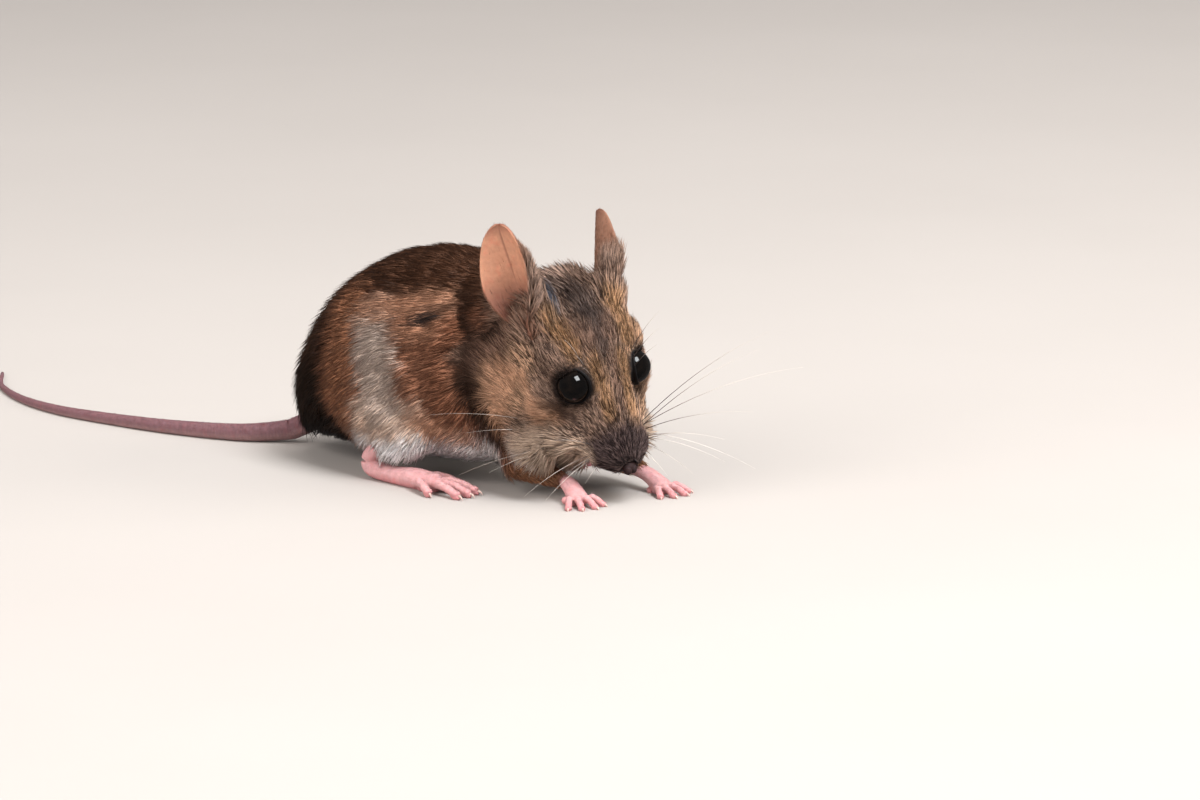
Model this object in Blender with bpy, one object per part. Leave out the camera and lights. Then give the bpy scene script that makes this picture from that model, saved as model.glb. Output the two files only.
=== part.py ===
"""Field mouse (long-tailed wood mouse), crouched on all fours with its head bent down.

A life-size still model. The flesh is modelled whole, as lofts and rounded masses fused into one smooth
body out to the tips of the coat, and is then parted by thin cuts into named pieces: head, muzzle, neck,
chest, trunk, rump, upper arms, forearms, thighs and shanks. Ears, eyes, nose, paws and the lengths of the
tail are pieces of their own, each a thin gap away from the flesh it sits in.

The body faces +X, its right side is -Y and the floor is z = 0. While it is built, x = 0 is at the heel
of the right hind foot and all sizes are millimetres of the real animal. The last step turns them into
metres and puts the origin on the floor under the middle of the finished model.
"""

from math import cos, pi, radians, sin, tau

import bmesh
import bpy
from mathutils import Matrix, Vector

MM = 0.001

# ---- Fit ------------------------------------------------------------------------------------------
CUT = 0.36                 # width of the thin cuts that part the body
SEAT = 0.45                # growth of a piece when it clears its own seat in the flesh
FLOOR = 0.0                # level that the feet, toes and tail rest on

# ---- Head -----------------------------------------------------------------------------------------
HEAD_AT = Vector((39.3, -2.2, 20.1))     # midway between the eyes
HEAD_YAW = radians(-2.5)
HEAD_PITCH = radians(56.5)   # nose down
HEAD_ROLL = radians(16)  # left side higher than the right
EYE_RADIUS = 2.7
SOCKET_RADIUS = 3.2        # the room for the eye, a coarser ball
EYE_AT = Vector((-0.1, 5.7, 0.1))        # left eye, in the head's axes
NOSE_AT = Vector((14.3, 0.0, -4.3))
NOSE_SIZE = Vector((1.25, 1.25, 1.0))
EAR_LENGTH = 16.2
EAR_WIDTH = 11.6           # across the unrolled ear
EAR_CURL = radians(165)    # how far the ear wraps round, less towards its tip
EAR_FUNNEL = radians(100)  # how much further it closes at its very root
EAR_WALL = 0.6

# ---- Feet and tail --------------------------------------------------------------------------------
HEEL_Y = 13.0              # half the distance between the heels
FOOT_LENGTH = 21.5
WRIST_BACK = 7.4           # from the finger tips back to the wrist
WRIST_HEIGHT = 3.0
PAW_SINK = 0.3             # how far the pads of a forepaw are pressed flat
TAIL_BASE_RADIUS = 1.7
TAIL_TIP_RADIUS = 0.35
TAIL_SIDES = 10

RIGHT, LEFT = -1, 1
SIDE_NAMES = {RIGHT: "right", LEFT: "left"}
FORE = {RIGHT: Vector((41.5, -8.3, 0.0)), LEFT: Vector((46.6, 8.0, 0.0))}    # tips of the fingers
FORE_TURN = {RIGHT: radians(-24), LEFT: radians(-4)}       # heading of each forepaw
EAR_ROOT = {RIGHT: Vector((-12.4, -7.6, -0.7)), LEFT: Vector((-12.5, 5.6, -1.7))}
EAR_BOSS = {RIGHT: Vector((-11.8, -6.2, 0.1)), LEFT: Vector((-11.6, 6.4, -0.4))}
EAR_STAND = {RIGHT: Vector((-0.89, -0.12, 0.40)), LEFT: Vector((-0.875, 0.479, -0.063))}   # root to tip

# ---- Fineness of the meshes -----------------------------------------------------------------------
DRUM_SIDES = 20            # of the oval cylinders that part the limbs from the flanks
BODY_FACES = 2300
HIND_FOOT_FACES = 380
FORE_PAW_FACES = 340

# ---- Colours --------------------------------------------------------------------------------------
FINISHES = {               # base colour, roughness
    "fur_brown": ((0.22, 0.125, 0.07), 0.85),
    "fur_rust": ((0.36, 0.2, 0.1), 0.85),
    "fur_dark": ((0.1, 0.065, 0.045), 0.85),
    "skin_pink": ((0.75, 0.5, 0.47), 0.55),
    "ear_skin": ((0.58, 0.33, 0.23), 0.6),
    "tail_skin": ((0.36, 0.2, 0.21), 0.65),
    "nose_skin": ((0.16, 0.1, 0.1), 0.4),
    "eye_black": ((0.008, 0.006, 0.006), 0.05),
}


def head_matrix():
    """Placement of the head: x to the nose, y to the left, z out of the crown."""
    turn = Matrix.Rotation(HEAD_YAW, 4, "Z") @ Matrix.Rotation(HEAD_PITCH, 4, "Y")
    return Matrix.Translation(HEAD_AT) @ turn @ Matrix.Rotation(HEAD_ROLL, 4, "X")


# ---- Meshes ---------------------------------------------------------------------------------------
def clear_scene():
    """Removes whatever the scene holds."""
    for old in list(bpy.data.objects):
        bpy.data.objects.remove(old, do_unlink=True)


def mesh_object(name, mesh):
    """Links a mesh to the scene as an object of that name."""
    made = bpy.data.objects.new(name, mesh)
    bpy.context.scene.collection.objects.link(made)
    return made


def object_from(name, bm):
    """Turns a bmesh into a linked object, with its faces pointing out."""
    bmesh.ops.recalc_face_normals(bm, faces=bm.faces)
    mesh = bpy.data.meshes.new(name)
    bm.to_mesh(mesh)
    bm.free()
    return mesh_object(name, mesh)


def loft(name, rings, poles=(None, None)):
    """Skins a list of rings of equal count, closing each end with a fan to a pole or to its centre."""
    bm = bmesh.new()
    rows = [[bm.verts.new(point) for point in ring] for ring in rings]
    count = len(rings[0])
    for low, high in zip(rows, rows[1:]):
        for i in range(count):
            j = (i + 1) % count
            bm.faces.new((low[i], low[j], high[j], high[i]))
    for row, ring, pole in ((rows[0], rings[0], poles[0]), (rows[-1], rings[-1], poles[1])):
        tip = bm.verts.new(pole or sum(ring, Vector()) / count)
        for i in range(count):
            bm.faces.new((row[i], row[(i + 1) % count], tip))
    return object_from(name, bm)


def ellipsoid(name, at, radii, turn=None, detail=4):
    """A ball stretched to three radii, turned, then placed."""
    bm = bmesh.new()
    bmesh.ops.create_icosphere(bm, subdivisions=detail, radius=1.0)
    place = Matrix.Translation(at) @ (turn or Matrix()) @ Matrix.Diagonal((*radii, 1.0))
    bmesh.ops.transform(bm, matrix=place, verts=bm.verts)
    return object_from(name, bm)


def along(points, steps):
    """A smooth line through the points (Catmull-Rom), with this many steps between each two."""
    whole = [2 * points[0] - points[1], *points, 2 * points[-1] - points[-2]]
    line = []
    for a, b, c, d in zip(whole, whole[1:], whole[2:], whole[3:]):
        for k in range(steps):
            t = k / steps
            line.append(0.5 * (2 * b + (c - a) * t + (2 * a - 5 * b + 4 * c - d) * t**2
                               + (3 * b - a - 3 * c + d) * t**3))
    line.append(points[-1].copy())
    return line


def spread(values, steps):
    """The same smooth interpolation for plain numbers, such as radii."""
    return [p.x for p in along([Vector((v, 0, 0)) for v in values], steps)]


def tube_rings(line, radii, sides, flatten=1.0, up=Vector((0, 0, 1))):
    """Rings square to a line, their height the given share of their width."""
    rings = []
    for i, (at, radius) in enumerate(zip(line, radii)):
        ahead = (line[min(i + 1, len(line) - 1)] - line[max(i - 1, 0)]).normalized()
        side = up.cross(ahead).normalized()
        top = ahead.cross(side)
        rings.append([at + radius * (cos(a) * side + flatten * sin(a) * top)
                      for a in (tau * k / sides for k in range(sides))])
    return rings


def limb(name, points, radii, sides=14, flatten=1.0, steps=4):
    """A tapering round limb through a few joints, with round ends."""
    line = along([Vector(p) for p in points], steps)
    widths = spread(radii, steps)
    start = line[0] - (line[1] - line[0]).normalized() * widths[0] * 0.8
    end = line[-1] + (line[-1] - line[-2]).normalized() * widths[-1] * 0.8
    return loft(name, tube_rings(line, widths, sides, flatten), (start, end))


def section(at, side, up, half_width, top, bottom, sides, fullness=2.0):
    """A closed oval ring with its own reach above and below its centre."""
    ring = []
    for k in range(sides):
        a = tau * k / sides
        across, rise = cos(a), sin(a)
        across = abs(across) ** (2 / fullness) * (1 if across > 0 else -1)
        rise = abs(rise) ** (2 / fullness) * (1 if rise > 0 else -1)
        ring.append(at + side * half_width * across + up * (top if rise > 0 else bottom) * rise)
    return ring


def evaluated(made, name):
    """A plain copy of an object with its modifiers applied; the original is removed."""
    graph = bpy.context.evaluated_depsgraph_get()
    mesh = bpy.data.meshes.new_from_object(made.evaluated_get(graph))
    mesh.transform(made.matrix_world)
    bpy.data.objects.remove(made, do_unlink=True)
    return mesh_object(name, mesh)


def joined(name, pieces):
    """One object with the shells of several; the originals are removed."""
    bm = bmesh.new()
    for piece in pieces:
        bm.from_mesh(piece.data)
        bpy.data.objects.remove(piece, do_unlink=True)
    return object_from(name, bm)


def fused(name, pieces, grain, softening, faces):
    """Melts overlapping shells into one smooth skin of about this many faces."""
    whole = joined(name, pieces)
    melt = whole.modifiers.new("melt", "REMESH")
    melt.mode = "VOXEL"
    melt.voxel_size = grain
    ease = whole.modifiers.new("ease", "SMOOTH")
    ease.factor = 0.5
    ease.iterations = softening
    whole = evaluated(whole, name)
    thin = whole.modifiers.new("thin", "DECIMATE")
    thin.ratio = min(1.0, faces / (2 * len(whole.data.polygons)))
    return evaluated(whole, name)


def boolean(whole, tool, operation, name):
    """The EXACT Boolean of two objects as a new object; both inputs stay."""
    copy = mesh_object(name, whole.data.copy())
    step = copy.modifiers.new("cut", "BOOLEAN")
    step.operation = operation
    step.solver = "EXACT"
    step.object = tool
    return evaluated(copy, name)


def largest_shell(made):
    """Drops the crumbs that a cut can leave beside the main shell."""
    bm = bmesh.new()
    bm.from_mesh(made.data)
    unseen = set(bm.verts)
    shells = []
    while unseen:
        stack = [unseen.pop()]
        shell = set(stack)
        while stack:
            for edge in stack.pop().link_edges:
                for vert in edge.verts:
                    if vert in unseen:
                        unseen.discard(vert)
                        shell.add(vert)
                        stack.append(vert)
        shells.append(shell)
    keep = max(shells, key=len)
    bmesh.ops.delete(bm, geom=[v for v in bm.verts if v not in keep], context="VERTS")
    bm.to_mesh(made.data)
    bm.free()
    return made


def carve(whole, name, tool, wider):
    """Parts one piece from the whole: what lies in the tool, and the rest outside the wider tool."""
    piece = largest_shell(boolean(whole, tool, "INTERSECT", name))
    rest = largest_shell(boolean(whole, wider, "DIFFERENCE", "rest"))
    for used in (whole, tool, wider):
        bpy.data.objects.remove(used, do_unlink=True)
    return piece, rest


def drum(at, wide, high, low_y, high_y, margin=0.0):
    """An oval cylinder lying across the body, between two distances to the side."""
    rings = []
    for y in (low_y - margin, high_y + margin):
        rings.append([Vector((at.x + (wide + margin) * cos(a), y, at.z + (high + margin) * sin(a)))
                      for a in (tau * k / DRUM_SIDES for k in range(DRUM_SIDES))])
    return loft("drum", rings)


def carve_drum(whole, name, at, wide, high, low_y, high_y):
    """Parts the piece that lies inside a drum."""
    return carve(whole, name, drum(at, wide, high, low_y, high_y), drum(at, wide, high, low_y, high_y, CUT))


def trimmed(made, at, normal):
    """Cuts away what lies beyond a plane and closes the cut flat."""
    bm = bmesh.new()
    bm.from_mesh(made.data)
    geometry = list(bm.verts) + list(bm.edges) + list(bm.faces)
    bmesh.ops.bisect_plane(bm, geom=geometry, plane_co=at, plane_no=normal, clear_outer=True)
    rim = [edge for edge in bm.edges if edge.is_boundary]
    bmesh.ops.holes_fill(bm, edges=rim, sides=0)
    bmesh.ops.triangulate(bm, faces=bm.faces)
    bmesh.ops.recalc_face_normals(bm, faces=bm.faces)
    bm.to_mesh(made.data)
    bm.free()
    return made


# ---- Trunk and limbs ------------------------------------------------------------------------------
TRUNK_STATIONS = (         # x, height of back, height of belly, half width, sideways bow
    (-24.6, 7.5, 3.4, 2.2),
    (-22.5, 14.5, 2.4, 6.6),
    (-18.0, 23.0, 2.0, 11.0),
    (-11.0, 31.0, 2.0, 14.4),
    (-3.0, 35.6, 2.2, 16.0),
    (6.0, 37.2, 2.0, 16.2),
    (14.0, 36.4, 2.3, 15.4),
    (21.0, 33.6, 3.4, 13.4),
    (26.5, 28.6, 5.2, 11.0),
    (30.5, 23.0, 7.5, 8.4),
    (33.5, 17.5, 10.0, 4.4),
)
TRUNK_SIDES = 40


def trunk_form():
    """The barrel of the body from the root of the tail to the breast."""
    rings = []
    columns = [spread([row[k] for row in TRUNK_STATIONS], 3) for k in range(4)]
    for x, back, belly, half in zip(*columns):
        middle = belly + 0.42 * (back - belly)
        rings.append(section(Vector((x, 0, middle)), Vector((0, 1, 0)), Vector((0, 0, 1)),
                             half, back - middle, middle - belly, TRUNK_SIDES, 2.15))
    return loft("trunk_form", rings)


HEAD_STATIONS = (          # reach along the head, crown, throat, half width
    (15.1, -3.6, -5.4, 1.2),
    (14.3, -2.7, -6.6, 2.5),
    (12.4, -1.5, -7.7, 3.7),
    (9.8, -0.2, -8.4, 4.5),
    (6.4, 1.3, -8.9, 5.0),
    (3.0, 2.8, -9.4, 5.0),
    (0.0, 3.7, -10.0, 5.2),
    (-4.0, 4.6, -10.8, 7.6),
    (-8.0, 4.6, -11.4, 9.2),
    (-12.0, 3.2, -11.2, 9.4),
    (-16.0, 0.6, -10.0, 8.6),
    (-18.6, -1.2, -8.0, 6.6),
    (-20.2, -3.0, -5.4, 3.6),
)
HEAD_SIDES = 36


def head_form():
    """Skull, muzzle and cheeks as one loft along the head's own axis, with the masses that round it."""
    rings = []
    columns = [spread([row[k] for row in HEAD_STATIONS], 3) for k in range(4)]
    for x, crown, throat, half in zip(*columns):
        middle = throat + 0.5 * (crown - throat)
        rings.append(section(Vector((x, 0, middle)), Vector((0, 1, 0)), Vector((0, 0, 1)),
                             half, crown - middle, middle - throat, HEAD_SIDES, 2.2))
    masses = [loft("head_form", rings)]
    for side in (RIGHT, LEFT):
        masses += [
            ellipsoid("whisker_pad", Vector((9.8, side * 2.8, -4.8)), (3.9, 2.9, 2.9)),
            ellipsoid("lip", Vector((1.8, side * 4.8, -5.8)), (7.0, 3.9, 3.8)),
            ellipsoid("cheek", Vector((-2.6, side * 6.6, -4.8)), (6.2, 4.8, 4.7)),
            ellipsoid("temple", Vector((-4.8, side * 6.5, 0.3)), (4.1, 3.1, 3.4)),
            ellipsoid("jowl", Vector((-9.5, side * 7.0, -6.0)), (6.8, 4.8, 6.0)),
            ellipsoid("brow", Vector((-1.8, side * 4.1, 2.0)), (4.0, 2.2, 1.6)),
            ellipsoid("ear_boss", EAR_BOSS[side], (4.3, 3.3, 3.9)),
        ]
    masses.append(ellipsoid("chin", Vector((6.8, 0, -8.3)), (4.6, 2.6, 1.6)))
    for mass in masses:
        mass.data.transform(head_matrix())
    return masses


def hind_leg(side):
    """Thigh folded along the flank, shank back down to the heel."""
    y = side * HEEL_Y
    return [
        ellipsoid("thigh", Vector((1.5, side * 10.4, 13.0)), (11.5, 6.2, 10.5),
                  Matrix.Rotation(radians(22), 4, "Y")),
        limb("shank", [(9.0, side * 10.6, 8.6), (5.6, side * 12.6, 5.4), (1.6, y, 3.2)], [4.2, 3.2, 2.0]),
    ]


def wrist(side):
    """Where the forearm meets the paw."""
    heading = Vector((cos(FORE_TURN[side]), sin(FORE_TURN[side]), 0))
    return FORE[side] - heading * WRIST_BACK + Vector((0, 0, WRIST_HEIGHT))


def wrist_facing(side):
    """Where the cut end of a forepaw looks: back and a little up."""
    return Vector((-cos(FORE_TURN[side]), -sin(FORE_TURN[side]), 0.35)).normalized()


def fore_leg(side):
    """Shoulder, upper arm back to the elbow, forearm forward along the floor."""
    at = wrist(side)
    elbow = Vector((at.x - 11.0, at.y + side * 1.0, 4.8))
    return [
        ellipsoid("shoulder", Vector((at.x - 7.5, side * 7.0, 13.0)), (6.5, 4.6, 8.0)),
        limb("upper_arm", [(at.x - 6.0, side * 7.2, 12.0), elbow], [4.6, 3.2]),
        limb("forearm", [elbow, (at + elbow) / 2 + Vector((0, 0, 0.1)), at], [3.1, 2.6, 1.7]),
    ]


def body_form():
    """The whole body but for ears, eyes, nose, paws and tail, melted into one."""
    neck_end = head_matrix() @ Vector((-9.6, 0, -3.4))
    parts = [trunk_form(), *head_form(),
             limb("neck", [(13.0, 0, 23.0), (23.0, -1.0, 25.2), neck_end], [13.4, 10.8, 7.0], sides=28),
             ellipsoid("breast", Vector((29.8, 0, 10.5)), (6.2, 5.0, 5.6)),
             limb("tail_root", [(-19.0, 0, 9.0), (-23.5, -0.2, 4.6), (-28.0, -1.4, 2.3)], [4.4, 2.9, 1.5])]
    for side in (RIGHT, LEFT):
        parts += hind_leg(side) + fore_leg(side)
    return fused("body", parts, 0.75, 7, BODY_FACES)


# ---- Ears -----------------------------------------------------------------------------------------
EAR_ROWS = 10
EAR_COLUMNS = 8
EAR_WAIST = 0.62           # width at the root as a share of the widest
EAR_WIDEST = 0.4           # how far up it is widest
EAR_OPENS = Vector((0.33, 0.88, 0.25))   # where the left ear opens to, in the head's axes


def ear(side):
    """A thin upright cup: an egg-shaped leaf rolled about its length, thickened to its wall."""
    bm = bmesh.new()
    grid = []
    for i in range(EAR_ROWS):
        height = sin(pi / 2 * i / (EAR_ROWS - 1))
        if height < EAR_WIDEST:
            share = EAR_WAIST + (1 - EAR_WAIST) * sin(pi / 2 * height / EAR_WIDEST)
        else:
            share = (1 - ((height - EAR_WIDEST) / (1 - EAR_WIDEST)) ** 1.75) ** 0.5
        half = max(EAR_WIDTH / 2 * share, 0.4)
        row = []
        for j in range(EAR_COLUMNS):
            u = 2 * j / (EAR_COLUMNS - 1) - 1
            curl = EAR_CURL * (1 - 0.6 * height) + EAR_FUNNEL * (1 - height) ** 5
            radius = 2 * half / curl
            turn = curl * u / 2
            across = radius * sin(turn)
            depth = radius * (1 - cos(turn))
            row.append(bm.verts.new((depth, across, EAR_LENGTH * height)))
        grid.append(row)
    for low, high in zip(grid, grid[1:]):
        for j in range(EAR_COLUMNS - 1):
            bm.faces.new((low[j], low[j + 1], high[j + 1], high[j]))
    leaf = object_from("leaf", bm)
    wall = leaf.modifiers.new("wall", "SOLIDIFY")
    wall.thickness = EAR_WALL
    wall.offset = 0.0
    leaf = evaluated(leaf, "ear_" + SIDE_NAMES[side])
    stand = EAR_STAND[side].normalized()
    opening = EAR_OPENS * Vector((1, side, 1))
    opening = (opening - opening.dot(stand) * stand).normalized()
    pose = Matrix((opening, stand.cross(opening), stand)).transposed().to_4x4()
    place = Matrix.Translation(EAR_ROOT[side])
    leaf.data.transform(head_matrix() @ place @ pose)
    return leaf


# ---- Feet -----------------------------------------------------------------------------------------
def digit(start, heading, length, radius, arch):
    """One toe or finger: out of the palm, over its knuckle and down to a claw on the floor."""
    ahead = Vector((cos(heading), sin(heading), 0))
    top = Vector((0, 0, arch))
    points = [start, start + ahead * length * 0.38 + top, start + ahead * length * 0.72 + top * 0.35,
              start + ahead * length * 0.9 - Vector((0, 0, start.z - radius * 0.7)),
              start + ahead * length - Vector((0, 0, start.z - 0.3))]
    return limb("digit", points, [radius, radius * 0.98, radius * 0.95, radius * 0.85, 0.28],
                sides=10, steps=3)


def foot_from(name, forms, pose, ankle_at, ankle_facing, faces):
    """Melts the forms of a foot, sets it in place and cuts its sole and ankle flat."""
    made = fused(name, forms, 0.24, 4, faces)
    made.data.transform(pose)
    trimmed(made, Vector((0, 0, FLOOR)), Vector((0, 0, -1)))
    return trimmed(made, ankle_at, ankle_facing)


HIND_TOES = (              # root along the foot (share), offset, splay in degrees, length (share)
    (0.58, 1.7, 24, 0.22),
    (0.66, 1.2, 8, 0.34),
    (0.68, 0.1, 0, 0.33),
    (0.66, -1.0, -8, 0.33),
    (0.52, -1.6, -30, 0.22),
)
ANKLE_FACING = Vector((0, 0, 1))


def ankle(side):
    """Where the shank meets the hind foot."""
    return Vector((0.2, side * HEEL_Y, 3.3))


def hind_foot(side):
    """The long hind foot, flat on the floor, with three long toes between two short ones."""
    sole = [(-0.4, 0, 3.4), (0.6, 0, 1.7), (5.0, 0, 1.25), (10.0, 0, 1.35), (14.2, 0, 1.15)]
    forms = [limb("sole", sole, [1.65, 1.75, 1.7, 2.1, 1.9], flatten=0.85)]
    for root, offset, splay, length in HIND_TOES:
        start = Vector((FOOT_LENGTH * root - 1.5, side * offset, 1.15))
        forms.append(digit(start, side * radians(splay), FOOT_LENGTH * length + 1.5, 0.78, 0.45))
    pose = Matrix.Translation((0, side * HEEL_Y, FLOOR)) @ Matrix.Rotation(side * radians(2), 4, "Z")
    return foot_from("hind_foot_" + SIDE_NAMES[side], forms, pose, ankle(side), ANKLE_FACING,
                     HIND_FOOT_FACES)


FINGERS = (                # offset, splay in degrees, length
    (1.35, 30, 3.7),
    (0.5, 10, 4.4),
    (-0.5, -10, 4.3),
    (-1.35, -32, 3.5),
)


def fore_paw(side):
    """A small forepaw set down with spread fingers and the stub of a thumb."""
    palm = [(0.0, 0, 3.0), (1.9, 0, 2.2), (3.9, 0, 1.15)]
    forms = [limb("palm", palm, [1.45, 1.6, 1.75], flatten=0.8),
             ellipsoid("thumb", Vector((2.3, side * 1.7, 1.0)), (0.7, 0.6, 0.6), detail=2)]
    for offset, splay, length in FINGERS:
        forms.append(digit(Vector((3.2, side * offset, 0.95)), side * radians(splay), length, 0.62, 0.4))
    at = wrist(side)
    pose = Matrix.Translation((at.x, at.y, FLOOR - PAW_SINK)) @ Matrix.Rotation(FORE_TURN[side], 4, "Z")
    return foot_from("fore_paw_" + SIDE_NAMES[side], forms, pose, at, wrist_facing(side), FORE_PAW_FACES)


# ---- Tail -----------------------------------------------------------------------------------------
TAIL_ROUTE = (             # along the floor
    (-28.0, -1.4), (-35.3, -6.2), (-47.0, -9.4), (-58.7, -10.7), (-72.0, -10.9), (-84.0, -8.0),
    (-95.0, -2.0), (-103.0, 6.0),
)
TAIL_SINK = 0.92           # height of its axis in radii, so that each length has a narrow flat
TAIL_RISE = 0.6            # how much higher than on the floor it leaves the rump
TAIL_PIECES = (            # name, first and last ring
    ("tail_base", 0, 5),
    ("tail_middle", 5, 10),
    ("tail_end", 10, 15),
    ("tail_tip", 15, 21),
)
TAIL_STEPS = 3


def tail():
    """The tail as four lengths laid along the floor, tapering to a fine tip, a thin cut between them."""
    flat = along([Vector((x, y, 0)) for x, y in TAIL_ROUTE], TAIL_STEPS)
    line, radii = [], []
    for i, at in enumerate(flat):
        share = i / (len(flat) - 1)
        radius = TAIL_BASE_RADIUS + (TAIL_TIP_RADIUS - TAIL_BASE_RADIUS) * share**0.85
        line.append(at + Vector((0, 0, FLOOR + radius * TAIL_SINK + TAIL_RISE * (1 - share) ** 12)))
        radii.append(radius)
    made = []
    for name, first, last in TAIL_PIECES:
        points = [p.copy() for p in line[first:last + 1]]
        ahead = (points[1] - points[0]).normalized()
        points[0] += ahead * CUT
        length = loft(name, tube_rings(points, radii[first:last + 1], TAIL_SIDES))
        made.append(trimmed(length, Vector((0, 0, FLOOR)), Vector((0, 0, -1))))
    return made


# ---- Parting --------------------------------------------------------------------------------------
def grown(made, gap):
    """A copy of a piece swollen by a gap."""
    copy = mesh_object("grown", made.data.copy())
    swell = copy.modifiers.new("swell", "DISPLACE")
    swell.strength = gap
    swell.mid_level = 0.0
    return evaluated(copy, "grown")


def cleared(whole, room):
    """The whole with room made for a piece that sits in it."""
    rest = largest_shell(boolean(whole, room, "DIFFERENCE", whole.name))
    name = whole.name
    bpy.data.objects.remove(whole, do_unlink=True)
    bpy.data.objects.remove(room, do_unlink=True)
    rest.name = name
    return rest


def block(low, high, frame, margin=0.0):
    """A box between two corners, in the axes of a frame."""
    bm = bmesh.new()
    bmesh.ops.create_cube(bm, size=1.0)
    middle = (Vector(low) + Vector(high)) / 2
    size = Vector(high) - Vector(low) + Vector((2 * margin,) * 3)
    place = frame @ Matrix.Translation(middle) @ Matrix.Diagonal((*size, 1.0))
    bmesh.ops.transform(bm, matrix=place, verts=bm.verts)
    return object_from("block", bm)


def shorn(whole, at, facing, low, high):
    """The whole with a box taken away that reaches up to a plane, less a thin gap."""
    frame = Matrix.Translation(at) @ Vector(facing).to_track_quat("Z", "Y").to_matrix().to_4x4()
    room = block(low, (*high, CUT), frame)
    rest = largest_shell(boolean(whole, room, "DIFFERENCE", "body"))
    bpy.data.objects.remove(whole, do_unlink=True)
    bpy.data.objects.remove(room, do_unlink=True)
    return rest


def carve_block(whole, name, low, high, frame):
    """Parts the piece that lies inside a box."""
    return carve(whole, name, block(low, high, frame), block(low, high, frame, CUT))


def parted(body):
    """Parts the fused body into its named pieces; what is left over is the trunk."""
    level = Matrix()
    _, rest = carve_block(body, "head", (-13.0, -30, -11.4), (40, 30, 30), head_matrix())
    head = bpy.data.objects["head"]
    muzzle, skull = carve_block(head, "muzzle", (5.6, -20, -20), (40, 20, 20), head_matrix())
    skull.name = "head"
    for side in (RIGHT, LEFT):
        name = SIDE_NAMES[side]
        at = wrist(side)
        slope = Matrix.Translation((at.x, at.y, 6.4)) @ Matrix.Rotation(radians(-9), 4, "Y")
        _, rest = carve_block(rest, "forearm_" + name, (-14.5, -6, -14), (20, 6, 0), slope)
        low, high = sorted((side * 3.2, side * 24.0))
        centre = Vector((at.x - 7.5, 0, 12.5))
        _, rest = carve_drum(rest, "upper_arm_" + name, centre, 8.0, 9.4, low, high)
        low, high = sorted((side * 8.6, side * 24.0))
        slope = Matrix.Translation((0, 0, 6.2)) @ Matrix.Rotation(radians(-18), 4, "Y")
        _, rest = carve_block(rest, "shank_" + name, (-5.0, low, -16), (16, high, 0), slope)
        low, high = sorted((side * 7.4, side * 24.0))
        _, rest = carve_drum(rest, "thigh_" + name, Vector((1.5, 0, 12.6)), 12.4, 11.4, low, high)
    _, rest = carve_block(rest, "neck", (0, -30, -40), (60, 30, 60),
                          Matrix.Translation((19.5, 0, 27.0)) @ Matrix.Rotation(radians(-38), 4, "Y"))
    _, rest = carve_block(rest, "chest", (13.5, -30, -10), (60, 30, 60), level)
    _, rest = carve_block(rest, "rump", (-60, -30, -10), (-9.5, 30, 60), level)
    rest.name = "trunk"


def in_head(made):
    """Moves a piece from the head's axes to its place."""
    made.data.transform(head_matrix())
    return made


# ---- Finishing ------------------------------------------------------------------------------------
LOOKS = (                  # start of the name, finish
    ("eye", "eye_black"),
    ("nose", "nose_skin"),
    ("muzzle", "fur_dark"),
    ("ear", "ear_skin"),
    ("tail", "tail_skin"),
    ("hind_foot", "skin_pink"),
    ("fore_paw", "skin_pink"),
    ("rump", "fur_dark"),
    ("thigh", "fur_rust"),
    ("shank", "fur_rust"),
    ("forearm", "fur_rust"),
    ("upper_arm", "fur_rust"),
)


def finished():
    """Gives every piece its material, turns millimetres into metres and sets the origin."""
    pieces = list(bpy.context.scene.collection.objects)
    corners = [vert.co for piece in pieces for vert in piece.data.vertices]
    low = Vector([min(c[k] for c in corners) for k in range(3)])
    high = Vector([max(c[k] for c in corners) for k in range(3)])
    origin = Vector(((low.x + high.x) / 2, (low.y + high.y) / 2, low.z))
    place = Matrix.Scale(MM, 4) @ Matrix.Translation(-origin)
    for piece in pieces:
        piece.data.transform(place)
        look = next((finish for start, finish in LOOKS if piece.name.startswith(start)), "fur_brown")
        colour, roughness = FINISHES[look]
        material = bpy.data.materials.new(piece.name)
        material.use_nodes = True
        shader = material.node_tree.nodes["Principled BSDF"]
        shader.inputs["Base Color"].default_value = (*colour, 1.0)
        shader.inputs["Roughness"].default_value = roughness
        shader.inputs["Metallic"].default_value = 0.0
        piece.data.materials.clear()
        piece.data.materials.append(material)
        for face in piece.data.polygons:
            face.use_smooth = True


def main():
    """Builds the mouse."""
    clear_scene()
    body = body_form()
    ears = [ear(side) for side in (RIGHT, LEFT)]
    for leaf in ears:
        cleared(leaf, grown(body, SEAT))
    body = cleared(body, grown(tail()[0], SEAT))
    nose = in_head(ellipsoid("nose", NOSE_AT, NOSE_SIZE, detail=2))
    body = cleared(body, grown(nose, SEAT))
    for side in (RIGHT, LEFT):
        at = EYE_AT * Vector((1, side, 1))
        in_head(ellipsoid("eye_" + SIDE_NAMES[side], at, (EYE_RADIUS,) * 3, detail=3))
        body = cleared(body, in_head(ellipsoid("socket", at, (SOCKET_RADIUS,) * 3, detail=2)))
        hind_foot(side)
        fore_paw(side)
    for side in (RIGHT, LEFT):
        body = shorn(body, ankle(side), ANKLE_FACING, (-24, -4, -12), (24, 4))
        body = shorn(body, wrist(side), wrist_facing(side), (-3.4, -3.4, -12), (3.4, 3.4))
    parted(body)
    finished()


if __name__ == "__main__":
    main()
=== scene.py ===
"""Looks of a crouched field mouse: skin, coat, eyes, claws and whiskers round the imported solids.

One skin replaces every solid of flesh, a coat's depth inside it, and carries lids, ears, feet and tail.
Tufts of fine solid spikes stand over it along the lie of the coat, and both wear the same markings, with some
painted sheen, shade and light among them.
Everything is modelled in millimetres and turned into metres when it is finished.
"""

import logging
from dataclasses import dataclass, field
from enum import Enum
from math import cos, pi, radians, sin, tau
from typing import Iterable, Sequence

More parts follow.
